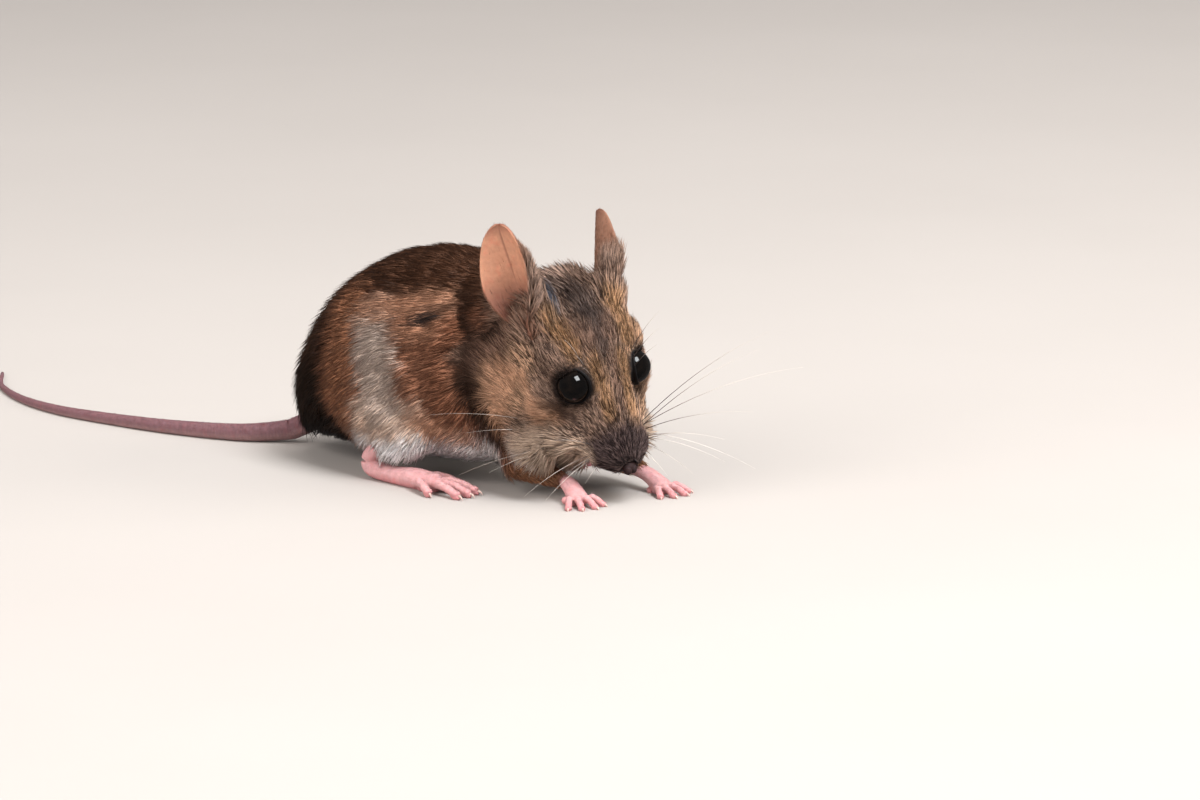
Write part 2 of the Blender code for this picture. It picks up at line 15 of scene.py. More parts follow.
import bmesh
import bpy
import numpy as np
from bmesh.types import BMesh
from bpy.types import Material, Mesh, Node, NodeSocket, NodeTree, Object
from mathutils import Matrix, Vector
from mathutils.bvhtree import BVHTree
from mathutils.kdtree import KDTree


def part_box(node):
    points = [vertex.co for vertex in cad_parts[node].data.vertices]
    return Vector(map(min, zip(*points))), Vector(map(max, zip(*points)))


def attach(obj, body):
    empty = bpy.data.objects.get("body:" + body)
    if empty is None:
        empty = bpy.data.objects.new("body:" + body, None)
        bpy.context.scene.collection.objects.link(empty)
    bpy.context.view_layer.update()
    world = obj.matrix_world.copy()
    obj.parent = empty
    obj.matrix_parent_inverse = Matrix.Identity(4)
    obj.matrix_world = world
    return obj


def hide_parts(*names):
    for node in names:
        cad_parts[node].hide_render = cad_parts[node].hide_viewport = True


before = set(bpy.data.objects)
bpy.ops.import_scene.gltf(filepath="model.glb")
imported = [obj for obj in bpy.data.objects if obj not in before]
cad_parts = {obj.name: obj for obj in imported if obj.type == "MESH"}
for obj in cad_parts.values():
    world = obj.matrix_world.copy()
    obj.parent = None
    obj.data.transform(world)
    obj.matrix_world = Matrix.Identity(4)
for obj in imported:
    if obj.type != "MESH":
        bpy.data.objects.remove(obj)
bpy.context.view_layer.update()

Array = np.ndarray
Colour = tuple[float, ...]
LOG = logging.getLogger("field_mouse")
MM = 0.001
ROOT = "root"
RIGHT, LEFT = -1, 1
SIDES = {RIGHT: "right", LEFT: "left"}
UP = Vector((0, 0, 1))
BAKE_MAP = "OFBake"


class Slot(Enum):
    """The record's material slots; each piece of the coat lists one, but all are grown with the one hair
    material.
    """

    FUR_BROWN = "fur_brown"
    FUR_RUST = "fur_rust"
    FUR_DARK = "fur_dark"
    SKIN_PINK = "skin_pink"
    EAR_SKIN = "ear_skin"
    EYE_BLACK = "eye_black"


# ---- Numbers over the whole skin ----
WAVES_MIXED = 7
WAVE_HEIGHT = 1.6  # brings the mean of the mixed waves back to about -1 to 1


def ease(low: float, high: float, values: Array) -> Array:
    """A smooth step.

    Args:
        low: where it starts to rise; with low above high it falls instead.
        high: where it is full.
        values: the numbers to step over.

    Returns:
        Shares from 0 to 1.
    """
    share = np.clip((values - low) / (high - low), 0.0, 1.0)
    return share * share * (3.0 - 2.0 * share)


def unit(vectors: Array) -> Array:
    """The rows of an array, each made one long."""
    return vectors / np.maximum(np.linalg.norm(vectors, axis=1, keepdims=True), 1e-9)


def waves(points: Array, pitch: float, seed: int) -> Array:
    """A cheap smooth disorder made of crossing waves.

    Args:
        points: places, a row each.
        pitch: rough distance between two crests.
        seed: picks the directions of the waves.

    Returns:
        Values from about -1 to 1.
    """
    draw = np.random.default_rng(seed)
    total = np.zeros(len(points))
    for _ in range(WAVES_MIXED):
        heading = unit(draw.normal(size=(1, 3)))[0]
        total += np.sin(points @ heading * tau / (pitch * draw.uniform(0.6, 1.6)) + draw.uniform(0, tau))
    return total / WAVES_MIXED * WAVE_HEIGHT


@dataclass(frozen=True)
class Axes:
    """A turned and placed set of axes inside the row frame, in millimetres."""

    matrix: Matrix

    def local(self, points: Array) -> Array:
        """Places in these axes, from places in the row frame."""
        back = np.array(self.matrix.inverted())
        return points @ back[:3, :3].T + back[:3, 3]

    def turned(self, vectors: Array) -> Array:
        """Directions in the row frame, from directions in these axes."""
        return vectors @ np.array(self.matrix)[:3, :3].T

    def point(self, x: float, y: float, z: float) -> Vector:
        """One place in the row frame."""
        return self.matrix @ Vector((x, y, z))

    def heading(self, x: float, y: float, z: float) -> Vector:
        """One direction in the row frame, made one long."""
        return (self.matrix.to_3x3() @ Vector((x, y, z))).normalized()


def middle(node: str) -> Vector:
    """Centre of a solid's box, in millimetres."""
    low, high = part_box(node)
    return (low + high) / 2 / MM


EYE_SET_BACK, EYE_APART, EYE_RAISED = 0.1, 5.7, 0.1  # each eye from the head's origin, in its own axes
NOSE_REACH, NOSE_DROP = 14.4, 4.4  # the nose from midway between the eyes
HEAD_OVER_HEEL = Vector((39.3, -2.2, 20.1))


def head_axes() -> Axes:
    """The head's axes: x to the nose, y to the left, z out of the crown, origin between the eyes.

    Returns:
        Axes worked out from the solids of the two eyes and the nose.
    """
    right, left, nose = middle("eye_right"), middle("eye_left"), middle("nose")
    across = (left - right).normalized()
    between = (left + right) / 2
    reach = nose - between
    reach = (reach - reach.dot(across) * across).normalized()
    lift = reach.cross(across)
    slope = np.arctan2(-NOSE_DROP, NOSE_REACH)
    ahead = reach * cos(slope) - lift * sin(slope)
    crown = ahead.cross(across)
    origin = between + ahead * EYE_SET_BACK - crown * EYE_RAISED
    turn = Matrix((ahead, across, crown)).transposed().to_4x4()
    return Axes(Matrix.Translation(origin) @ turn)


HEAD = head_axes()
BODY = Axes(Matrix.Translation(HEAD.matrix.translation - HEAD_OVER_HEEL))


def from_eye(head: Array, side: int) -> tuple[Array, Array]:
    """Ways from an eye to places in the head's axes, and how long they are."""
    past = head - np.array((-EYE_SET_BACK, side * EYE_APART, EYE_RAISED))
    return past, np.linalg.norm(past, axis=1)


def ahead_at(line: Sequence[Vector], i: int) -> Vector:
    """The way that a line runs at one of its points."""
    return (line[min(i + 1, len(line) - 1)] - line[max(i - 1, 0)]).normalized()


def tree_of(points: Sequence) -> KDTree:
    """A tree that finds the nearest of some places, each by its number."""
    tree = KDTree(len(points))
    for i, at in enumerate(points):
        tree.insert(at, i)
    tree.balance()
    return tree


# ---- Meshes ----
END_ROUND = 0.7  # how far a tube's end stands out, as a share of its radius
LIMB_STEPS = 4  # rings from one joint of a limb to the next


def linked(name: str, mesh: Mesh) -> Object:
    """Links a mesh to the scene as an object of that name."""
    made = bpy.data.objects.new(name, mesh)
    bpy.context.scene.collection.objects.link(made)
    return made


def from_bmesh(name: str, bm: BMesh, facing_out: bool = False) -> Object:
    """Turns a bmesh into a linked object, with its faces made to point out if they don't yet."""
    if not facing_out:
        bmesh.ops.recalc_face_normals(bm, faces=bm.faces)
    mesh = bpy.data.meshes.new(name)
    bm.to_mesh(mesh)
    bm.free()
    return linked(name, mesh)


def gone(*made: Object) -> None:
    """Removes objects."""
    for old in made:
        bpy.data.objects.remove(old, do_unlink=True)


def applied(made: Object) -> Object:
    """A plain copy of an object with its modifiers applied, under the same name."""
    graph = bpy.context.evaluated_depsgraph_get()
    mesh = bpy.data.meshes.new_from_object(made.evaluated_get(graph))
    name = made.name
    gone(made)
    return linked(name, mesh)


def joined(name: str, made: Sequence[Object]) -> Object:
    """One object with the shells of several, which are removed."""
    bm = bmesh.new()
    for piece in made:
        bm.from_mesh(piece.data)
    gone(*made)
    return from_bmesh(name, bm)


def combined(whole: Object, tool: Object, operation: str) -> Object:
    """The Boolean of two closed shapes, which are both used up.

    Args:
        whole: the shape that is changed.
        tool: what is added to it or taken from it.
        operation: UNION or DIFFERENCE.

    Returns:
        The new shape, under the name of the first.
    """
    step = whole.modifiers.new("combine", "BOOLEAN")
    step.operation = operation
    step.solver = "MANIFOLD"
    step.object = tool
    made = applied(whole)
    gone(tool)
    return made


def softened(made: Object, rounds: int) -> Object:
    """A shape smoothed a number of times."""
    soften = made.modifiers.new("soften", "SMOOTH")
    soften.factor = 0.5
    soften.iterations = rounds
    return applied(made)


def melted(made: Object, grain: float, softening: int) -> Object:
    """Melts overlapping shells into one smooth skin.

    Args:
        made: the shells, joined in one object.
        grain: size of the new faces.
        softening: how many times the skin is smoothed.

    Returns:
        The melted shape.
    """
    melt = made.modifiers.new("melt", "REMESH")
    melt.mode = "VOXEL"
    melt.voxel_size = grain
    return softened(made, softening)


def skinned(bm: BMesh, rings: Sequence[Sequence[Vector]], round_again: bool = False) -> list[list]:
    """Skins closed rings of equal count.

    Args:
        bm: the mesh that takes them.
        rings: their places.
        round_again: whether the last ring is joined to the first.

    Returns:
        The rings as points of the mesh.
    """
    rows = [[bm.verts.new(point) for point in ring] for ring in rings]
    count = len(rings[0])
    for low, high in zip(rows, rows[1:] + rows[:1] if round_again else rows[1:]):
        for i in range(count):
            j = (i + 1) % count
            bm.faces.new((low[i], low[j], high[j], high[i]))
    return rows


def loft(name: str, rings: Sequence[Sequence[Vector]], start: Vector, end: Vector) -> Object:
    """Skins rings of equal count and closes both ends.

    Args:
        name: the object's name.
        rings: places of each ring.
        start: the pole before the first ring.
        end: the pole past the last.

    Returns:
        A closed shape.
    """
    bm = bmesh.new()
    rows = skinned(bm, rings)
    for row, pole in ((rows[0], start), (rows[-1], end)):
        tip = bm.verts.new(pole)
        for a, b in zip(row, row[1:] + row[:1]):
            bm.faces.new((a, b, tip))
    return from_bmesh(name, bm)


def ball(name: str, place: Matrix, detail: int = 4) -> Object:
    """A ball of radius 1 set in place, turned and stretched by a matrix."""
    bm = bmesh.new()
    bmesh.ops.create_icosphere(bm, subdivisions=detail, radius=1.0)
    bmesh.ops.transform(bm, matrix=place, verts=bm.verts)
    return from_bmesh(name, bm)


def along(points: Sequence[Vector], steps: int) -> list[Vector]:
    """A smooth line through some points.

    Args:
        points: the points.
        steps: how many steps it takes between each two.

    Returns:
        The line's places.
    """
    whole = [2 * points[0] - points[1], *points, 2 * points[-1] - points[-2]]
    line = []
    for a, b, c, d in zip(whole, whole[1:], whole[2:], whole[3:]):
        for k in range(steps):
            t = k / steps
            line.append(0.5 * (2 * b + (c - a) * t + (2 * a - 5 * b + 4 * c - d) * t**2
                               + (3 * b - a - 3 * c + d) * t**3))
    line.append(points[-1].copy())
    return line


def spread(values: Sequence[float], steps: int) -> list[float]:
    """The same smooth interpolation for plain numbers."""
    return [p.x for p in along([Vector((v, 0, 0)) for v in values], steps)]


def tube(name: str, line: Sequence[Vector], radii: Sequence[float], sides: int,
         flatten: float = 1.0, floor: float | None = None, up: Vector = UP) -> Object:
    """A round tube along a line, closed and rounded at both ends.

    Args:
        name: the object's name.
        line: centres of its rings.
        radii: half widths of its rings.
        sides: corners of a ring.
        flatten: height of a ring as a share of its width.
        floor: level below which no point lies.
        up: which way the rings' tops look.

    Returns:
        The tube.
    """
    rings = []
    for i, (at, radius) in enumerate(zip(line, radii)):
        ahead = ahead_at(line, i)
        side = up.cross(ahead).normalized()
        top = ahead.cross(side)
        ring = [at + radius * (cos(a) * side + flatten * sin(a) * top)
                for a in (tau * k / sides for k in range(sides))]
        if floor is not None:
            ring = [Vector((p.x, p.y, max(p.z, floor))) for p in ring]
        rings.append(ring)
    start = line[0] - (line[1] - line[0]).normalized() * radii[0] * END_ROUND
    end = line[-1] + (line[-1] - line[-2]).normalized() * radii[-1] * END_ROUND
    return loft(name, rings, start, end)


def limb(points: Iterable[Sequence[float]], radii: Sequence[float], sides: int,
         flatten: float = 1.0) -> Object:
    """A tapering round limb through a few joints."""
    line = along([Vector(p) for p in points], LIMB_STEPS)
    return tube("limb", line, spread(radii, LIMB_STEPS), sides, flatten)


def triangles(made: Object) -> int:
    """How many triangles a shape has."""
    return sum(len(p.vertices) - 2 for p in made.data.polygons)


def settle(made: Object, nodes: Sequence[str] = ()) -> None:
    """Turns a finished piece into metres, smooths its shading and hangs it on the body.

    Args:
        made: the piece, in millimetres.
        nodes: the solids that it stands for.
    """
    made.data.transform(Matrix.Scale(MM, 4))
    made.data.update()
    for polygon in made.data.polygons:
        polygon.use_smooth = True
    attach(made, ROOT)
    if nodes:
        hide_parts(*nodes)
    LOG.info("%s: %d triangles", made.name, triangles(made))


# ---- Node trees ----
class Field(Enum):
    """Names of the numbers and colours that the skin carries from point to point."""

    MARKING = "marking"  # colour of coat or bare skin
    GRIZZLE = "grizzle"  # how strongly single hairs differ
    BARE = "bare"  # 1 on naked skin
    PLACE = "place"  # where a tuft has its root, in millimetres
    ALONG = "along_tuft"  # 0 at the root of a tuft, 1 at its tip
    TONE = "tone"  # a number of its own for each tuft
    RIDGE = "ridge"  # running distance over toes and tail, for their rings
    FLOW = "flow"  # lie of the coat
    STAND = "stand"  # straight out of the skin
    LENGTH = "tuft_length"
    LIFT = "tuft_lift"  # how steeply the tufts leave the skin, in radians
    FULLNESS = "fullness"  # share of the full density of tufts
    REGION = "region"  # which piece of the coat grows here


class Graph:
    """A node tree, written down node by node."""

    def __init__(self, tree: NodeTree) -> None:
        """Starts writing in a tree."""
        self.tree = tree

    @staticmethod
    def socket(sockets: Iterable, name: str) -> NodeSocket:
        """The socket of that name that is in use."""
        return next(s for s in sockets if s.name == name and s.enabled)

    def feed(self, socket: NodeSocket, value: object) -> None:
        """Links a socket to another, or sets its value."""
        if isinstance(value, NodeSocket):
            self.tree.links.new(value, socket)
        else:
            socket.default_value = value

    def add(self, kind: str, inputs: dict | None = None, **settings: object) -> Node:
        """Adds a node.

        Args:
            kind: its type.
            inputs: values or sockets for its inputs, by name.
            settings: its own properties.

        Returns:
            The node.
        """
        node = self.tree.nodes.new(kind)
        for key, value in settings.items():
            setattr(node, key, value)
        for key, value in (inputs or {}).items():
            self.feed(self.socket(node.inputs, key), value)
        return node

    def math(self, operation: str, *values: object) -> NodeSocket:
        """One sum on numbers."""
        node = self.tree.nodes.new("ShaderNodeMath")
        node.operation = operation
        for socket, value in zip(node.inputs, values):
            self.feed(socket, value)
        return node.outputs[0]

    def times(self, a: object, b: object) -> NodeSocket:
        """One product of numbers."""
        return self.math("MULTIPLY", a, b)

    def vector(self, operation: str, *values: object, scale: object = None) -> NodeSocket:
        """One sum on vectors."""
        node = self.tree.nodes.new("ShaderNodeVectorMath")
        node.operation = operation
        for socket, value in zip(node.inputs, values):
            self.feed(socket, value)
        if scale is not None:
            self.feed(node.inputs["Scale"], scale)
        return node.outputs["Vector"]

    def mix(self, share: object, a: object, b: object) -> NodeSocket:
        """A mix of two colours."""
        node = self.add("ShaderNodeMix", data_type="RGBA")
        for name, value in (("Factor", share), ("A", a), ("B", b)):
            self.feed(self.socket(node.inputs, name), value)
        return self.socket(node.outputs, "Result")

    def ramp(self, value: object, low: float, high: float,
             start: float = 0.0, end: float = 1.0) -> NodeSocket:
        """A smooth ramp from start to end as the value goes from low to high."""
        node = self.add("ShaderNodeMapRange", {"Value": value, "From Min": low, "From Max": high,
                                               "To Min": start, "To Max": end},
                        interpolation_type="SMOOTHSTEP")
        return node.outputs[0]

    def noise(self, place: object, scale: float, detail: float = 2.0,
              roughness: float = 0.5) -> NodeSocket:
        """Noise over a place, as a number from 0 to 1."""
        node = self.add("ShaderNodeTexNoise", {"Vector": place, "Scale": scale, "Detail": detail,
                                               "Roughness": roughness})
        return node.outputs["Fac"]

    def read(self, name: Field, output: str = "Fac") -> NodeSocket:
        """An attribute of the mesh, in a material."""
        return self.add("ShaderNodeAttribute", attribute_name=name.value).outputs[output]

    def millimetres(self) -> NodeSocket:
        """Places on the object in a material, in millimetres."""
        return self.vector("SCALE", self.add("ShaderNodeTexCoord").outputs["Object"], scale=1 / MM)

    def give(self, name: str, value: NodeSocket) -> None:
        """Ends a group, with one output."""
        self.feed(self.tree.nodes.new("NodeGroupOutput").inputs[name], value)


def solid(red: float, green: float, blue: float) -> Colour:
    """A linear colour from the three display values, each 0 to 255."""
    def straight(value: float) -> float:
        """One value, made linear."""
        share = value / 255
        return share / 12.92 if share <= 0.04045 else ((share + 0.055) / 1.055) ** 2.4
    return (straight(red), straight(green), straight(blue), 1.0)


# ---- Finishes ----
def new_group(name: str, kind: str, inputs: dict[str, str], output: str,
              output_kind: str) -> tuple[Graph, Sequence[NodeSocket]]:
    """Starts a node group with named sockets.

    Args:
        name: the group's name.
        kind: Shader or Geometry.
        inputs: kinds of its inputs, by name.
        output: name of its one output.
        output_kind: the output's kind.

    Returns:
        The writer of its tree, and its inputs as seen from inside.
    """
    tree = bpy.data.node_groups.new(name, kind + "NodeTree")
    for key, value in inputs.items():
        tree.interface.new_socket(key, in_out="INPUT", socket_type="NodeSocket" + value)
    tree.interface.new_socket(output, in_out="OUTPUT", socket_type="NodeSocket" + output_kind)
    return Graph(tree), tree.nodes.new("NodeGroupInput").outputs


PATCH_SCALE, PATCH_SHADE = 0.55, 0.7  # broad patches of the coat and how much lighter they get
LOCK_SCALE, LOCK_SHARE = 2.3, 0.55  # locks of hair, and how much of its shade a hair has from its lock
DARK_HAIR = (0.17, 0.16, 0.165)
PALE_HAIR, PALE_SHINE = (1.8, 1.75, 1.65), (0.028, 0.026, 0.024)
DARK_TIP, TIP_SHARE = (0.4, 0.36, 0.34), 0.45


def agouti_group() -> NodeTree:
    """The colour of one hair: slate root, band of the marking's colour, dark or pale tip.

    Returns:
        A shader group from marking, grizzle, along, tone and place to a colour.
    """
    g, given = new_group("agouti_hair", "Shader", {"Marking": "Color", "Grizzle": "Float", "Along": "Float",
                                                   "Tone": "Float", "Place": "Vector"}, "Color", "Color")
    tone, run, grizzle = given["Tone"], given["Along"], given["Grizzle"]
    patchy = g.noise(given["Place"], PATCH_SCALE, 3.0)
    shade = g.math("MULTIPLY_ADD", g.math("SUBTRACT", patchy, 0.5), PATCH_SHADE, 1.0)
    lit = g.vector("SCALE", given["Marking"], scale=shade)
    root = g.vector("SCALE", lit, scale=g.ramp(run, 0.0, 0.42, 0.42, 1.0))
    locks = g.ramp(g.noise(given["Place"], LOCK_SCALE, 1.0), 0.3, 0.7)
    mixed = g.math("MULTIPLY_ADD", locks, LOCK_SHARE, g.times(tone, 1.0 - LOCK_SHARE))
    dark_hair = g.times(g.ramp(mixed, 0.52, 0.34), grizzle)
    pale_hair = g.times(g.ramp(mixed, 0.52, 0.78), grizzle)
    dark = g.vector("MULTIPLY", root, DARK_HAIR)
    pale = g.vector("ADD", g.vector("MULTIPLY", root, PALE_HAIR), PALE_SHINE)
    body = g.mix(dark_hair, root, dark)
    body = g.mix(pale_hair, body, pale)
    tip = g.times(g.ramp(run, 0.55, 0.95), g.times(grizzle, TIP_SHARE))
    g.give("Color", g.mix(tip, body, g.vector("MULTIPLY", body, DARK_TIP)))
    return g.tree


def grain_group() -> NodeTree:
    """Fine relief of bare skin: rings across toes and tail, with pores between them.

    Returns:
        A shader group from place and ridge to a height.
    """
    g, given = new_group("skin_grain", "Shader", {"Place": "Vector", "Ridge": "Float", "Pitch": "Float"},
                         "Height", "Float")
    ring = g.math("SINE", g.times(given["Ridge"], g.math("DIVIDE", tau, given["Pitch"])))
    ringed = g.times(g.math("ABSOLUTE", ring), g.ramp(given["Ridge"], 0.0, 0.5))
    pores = g.noise(given["Place"], 5.0, 4.0, 0.65)
    folds = g.noise(given["Place"], 1.3, 3.0, 0.6)
    height = g.math("ADD", g.times(ringed, 0.5), g.times(pores, 0.45))
    g.give("Height", g.math("MULTIPLY_ADD", folds, 0.6, height))
    return g.tree


@dataclass
class Finishes:
    """All materials of the animal, which share the two groups."""

    agouti: NodeTree = field(default_factory=agouti_group)
    grain: NodeTree = field(default_factory=grain_group)
    ring_pitch: float = 1.1  # millimetres from ring to ring of toes and tail
    relief: float = 0.00012  # metres from the pores' floor to the rings' tops

    @staticmethod
    def started(name: str, **values: object) -> tuple[Material, Graph, Node]:
        """An empty material with its shader.

        Args:
            name: the material's name.
            values: plain values for the shader's sockets, with _ for a blank in their names.

        Returns:
            The material, the writer of its tree, and the shader node.
        """
        material = bpy.data.materials.new(name)
        material.use_nodes = True
        shader = material.node_tree.nodes["Principled BSDF"]
        for key, value in values.items():
            shader.inputs[key.replace("_", " ")].default_value = value
        return material, Graph(material.node_tree), shader

    def hair_colour(self, g: Graph, run: object, tone: object) -> NodeSocket:
        """Places the agouti group, fed with what the mesh carries.

        Args:
            g: writer of the material's tree.
            run: how far along the hair a place is.
            tone: the hair's own number.

        Returns:
            The hair's colour.
        """
        node = g.add("ShaderNodeGroup", node_tree=self.agouti)
        g.feed(node.inputs["Marking"], g.read(Field.MARKING, "Color"))
        g.feed(node.inputs["Grizzle"], g.read(Field.GRIZZLE))
        g.feed(node.inputs["Place"], g.read(Field.PLACE, "Vector"))
        g.feed(node.inputs["Along"], run)
        g.feed(node.inputs["Tone"], tone)
        return node.outputs["Color"]

    def coat(self) -> Material:
        """Hair: the agouti colour, a soft gloss along the tufts."""
        material, g, shader = self.started("coat_hair", Specular_IOR_Level=0.16)
        g.feed(shader.inputs["Base Color"], self.hair_colour(g, g.read(Field.ALONG), g.read(Field.TONE)))
        g.feed(shader.inputs["Roughness"], g.ramp(g.read(Field.TONE), 0.0, 1.0, 0.4, 0.6))
        return material

    def hide(self) -> Material:
        """The skin: underfur where the coat grows, naked skin with rings and pores elsewhere.

        Returns:
            The material.
        """
        material, g, shader = self.started("hide", Specular_IOR_Level=0.25, Subsurface_Weight=0.12,
                                           Subsurface_Scale=0.0006, Subsurface_Radius=(1.0, 0.35, 0.2))
        place = g.read(Field.PLACE, "Vector")
        bare = g.read(Field.BARE)
        streaks = g.noise(place, 3.2, 4.0, 0.7)
        under = self.hair_colour(g, g.ramp(streaks, 0.3, 0.75, 0.0, 0.6), streaks)
        mottle = g.noise(place, 1.1, 5.0, 0.62)
        naked = g.vector("SCALE", g.read(Field.MARKING, "Color"),
                         scale=g.math("MULTIPLY_ADD", mottle, 0.6, 0.7))
        flushed = g.mix(g.ramp(g.noise(place, 0.7, 2.0), 0.5, 0.75, 0.0, 0.35), naked,
                        g.vector("MULTIPLY", naked, (1.12, 0.72, 0.74)))
        g.feed(shader.inputs["Base Color"], g.mix(bare, under, flushed))
        rough = g.math("MULTIPLY_ADD", bare, -0.3, 0.85)
        g.feed(shader.inputs["Roughness"], g.math("MULTIPLY_ADD", mottle, 0.15, rough))
        grain = g.add("ShaderNodeGroup", node_tree=self.grain)
        g.feed(grain.inputs["Place"], place)
        g.feed(grain.inputs["Ridge"], g.read(Field.RIDGE))
        g.feed(grain.inputs["Pitch"], self.ring_pitch)
        bump = g.add("ShaderNodeBump", {"Height": grain.outputs["Height"], "Strength": 0.6,
                                        "Distance": self.relief})
        g.feed(shader.inputs["Normal"], bump.outputs["Normal"])
        return material

    def eye(self) -> Material:
        """Wet black eye with the faintest brown in its depth."""
        material, g, shader = self.started("eye_gloss", Roughness=0.03, Specular_IOR_Level=0.3,
                                           Coat_Weight=0.06, Coat_Roughness=0.01)
        cloud = g.noise(g.millimetres(), 0.8, 3.0)
        g.feed(shader.inputs["Base Color"],
               g.mix(g.ramp(cloud, 0.35, 0.8), (0.002, 0.0016, 0.0015, 1), (0.006, 0.004, 0.003, 1)))
        return material

    def horn(self) -> Material:
        """Claws: horn in two pale shades, mixed by a fine noise."""
        material, g, shader = self.started("claw_horn", Roughness=0.35, Specular_IOR_Level=0.5)
        grain = g.noise(g.millimetres(), 4.0, 3.0)
        g.feed(shader.inputs["Base Color"], g.mix(grain, solid(190, 152, 144), solid(212, 190, 178)))
        return material

    def whisker(self) -> Material:
        """Whiskers: dark at the root, whitish towards the tip."""
        material, g, shader = self.started("whisker", Roughness=0.3, Specular_IOR_Level=0.5)
        run, tone = g.read(Field.ALONG), g.read(Field.TONE)
        dark = g.mix(tone, solid(34, 26, 24), solid(92, 74, 66))
        pale = g.mix(tone, solid(176, 160, 150), solid(236, 228, 220))
        switch = g.ramp(g.math("ADD", run, g.times(tone, 0.35)), 0.3, 0.85)
        g.feed(shader.inputs["Base Color"], g.mix(switch, dark, pale))
        return material

    def stage(self) -> Material:
        """The floor: pale, matt, hardly mottled."""
        material, g, shader = self.started("stage_floor", Roughness=0.8, Specular_IOR_Level=0.2)
        cloud = g.noise(g.add("ShaderNodeTexCoord").outputs["Object"], 9.0, 4.0)
        g.feed(shader.inputs["Base Color"], g.mix(cloud, solid(170, 163, 158), solid(178, 171, 166)))
        return material


# ---- Ears ----
@dataclass
class Ear:
    """A thin upright cup: an egg-shaped leaf rolled about its length."""

    side: int
    length: float = 16.2
    width: float = 11.6  # across the unrolled leaf
    curl: float = radians(165)  # how far it wraps round, less towards its tip
    funnel: float = radians(100)  # how much further it closes at its very root
    wall: float = 0.42
    waist: float = 0.62  # width at the root as a share of the widest
    widest: float = 0.4  # how far up it is widest
    sunk: float = 0.16  # share of its length that goes on inside the head
    ripple: float = 0.09  # how far its margin waves in and out
    hollow: float = 3.6  # depth of its cup
    rows: int = 34
    columns: int = 30
    roots: dict = field(default_factory=lambda: {RIGHT: (-12.4, -7.6, -0.7), LEFT: (-12.5, 5.6, -1.7)})
    stands: dict = field(default_factory=lambda: {RIGHT: (-0.89, -0.12, 0.40),
                                                  LEFT: (-0.875, 0.479, -0.063)})
    opens: tuple = (0.33, 0.88, 0.25)
    brim_tops: dict = field(default_factory=lambda: {RIGHT: 0.92, LEFT: 0.6})  # height of its furry brim
    brim_fade: float = 0.35

    def axes(self) -> Axes:
        """The ear's own axes: x out of its opening, z from root to tip."""
        stand = Vector(self.stands[self.side]).normalized()
        opening = Vector(self.opens) * Vector((1, self.side, 1))
        opening = (opening - opening.dot(stand) * stand).normalized()
        pose = Matrix((opening, stand.cross(opening), stand)).transposed().to_4x4()
        return Axes(HEAD.matrix @ Matrix.Translation(self.roots[self.side]) @ pose)

    def half_width(self, height: float) -> float:
        """Half the width of the unrolled leaf, at a share of its length."""
        if height < self.widest:
            rise = max(height, 0.0) / self.widest
            share = self.waist + (1 - self.waist) * sin(pi / 2 * rise)
        else:
            share = (1 - ((height - self.widest) / (1 - self.widest)) ** 1.75) ** 0.5
        return max(self.width / 2 * share, 0.35)

    def reading(self, surface: "Surface") -> tuple[Array, Array, Array]:
        """Where the points of a skin lie on the ear.

        Args:
            surface: the skin.

        Returns:
            Height along the ear, share of its hollow side, and share of its furry brim.
        """
        axes = self.axes()
        local = axes.local(surface.places)
        facing = surface.normals @ np.array(axes.matrix)[:3, :3]
        height = local[:, 2] / self.length
        sight = 1.0 - local[:, 0] / self.hollow
        inside = ease(-0.15, 0.25, facing[:, 0] * sight - facing[:, 1] * local[:, 1] / 5.0)
        top = self.brim_tops[self.side]
        brim = (1.0 - inside) * ease(0.6, 2.6, -self.side * local[:, 1])
        return height, inside, brim * ease(top, top - self.brim_fade, height)

    def leaf(self) -> Object:
        """Builds the ear.

        Returns:
            The ear as a closed thin shell in place.
        """
        bm = bmesh.new()
        grid = []
        for i in range(self.rows):
            run = i / (self.rows - 1)
            height = sin(pi / 2 * run) * (1 + self.sunk) - self.sunk
            half = self.half_width(height)
            above = max(height, 0.0)
            curl = self.curl * (1 - 0.6 * above) + self.funnel * (1 - above) ** 5
            radius = 2 * half / curl
            row = []
            for j in range(self.columns):
                u = 2 * j / (self.columns - 1) - 1
                ripple = self.ripple * sin(9.0 * height + 2.0 * u) * abs(u) ** 2
                turn = curl * u / 2
                row.append(bm.verts.new((radius * (1 - cos(turn)) + ripple, radius * sin(turn),
                                         self.length * height)))
            grid.append(row)
        for low, high in zip(grid, grid[1:]):
            for j in range(self.columns - 1):
                bm.faces.new((low[j], low[j + 1], high[j + 1], high[j]))
        made = from_bmesh("ear_leaf", bm)
        wall = made.modifiers.new("wall", "SOLIDIFY")
        wall.thickness = self.wall
        wall.offset = 0.0
        rounding = made.modifiers.new("rounding", "SUBSURF")
        rounding.levels = rounding.render_levels = 1
        made = applied(made)
        made.data.transform(self.axes().matrix)
        return made


# ---- Feet ----
SWELLINGS = (  # share of a digit's length, height over its root, size in its radius
    (0.38, 0.16, (1.15, 1.02, 0.9)),
    (0.72, 0.1, (1.0, 0.98, 0.85)),
    (0.9, -0.25, (1.1, 1.0, 0.75)),
)


def stretched(at: Sequence[float], size: Sequence[float], turn: Matrix = Matrix.Identity(4)) -> Matrix:
    """The matrix that sets a ball of this size at a place."""
    return Matrix.Translation(at) @ turn @ Matrix.Diagonal((*size, 1.0))


def grounded(made: Object) -> None:
    """Lifts what lies below the floor up to it."""
    for vert in made.data.vertices:
        vert.co.z = max(vert.co.z, 0.0)


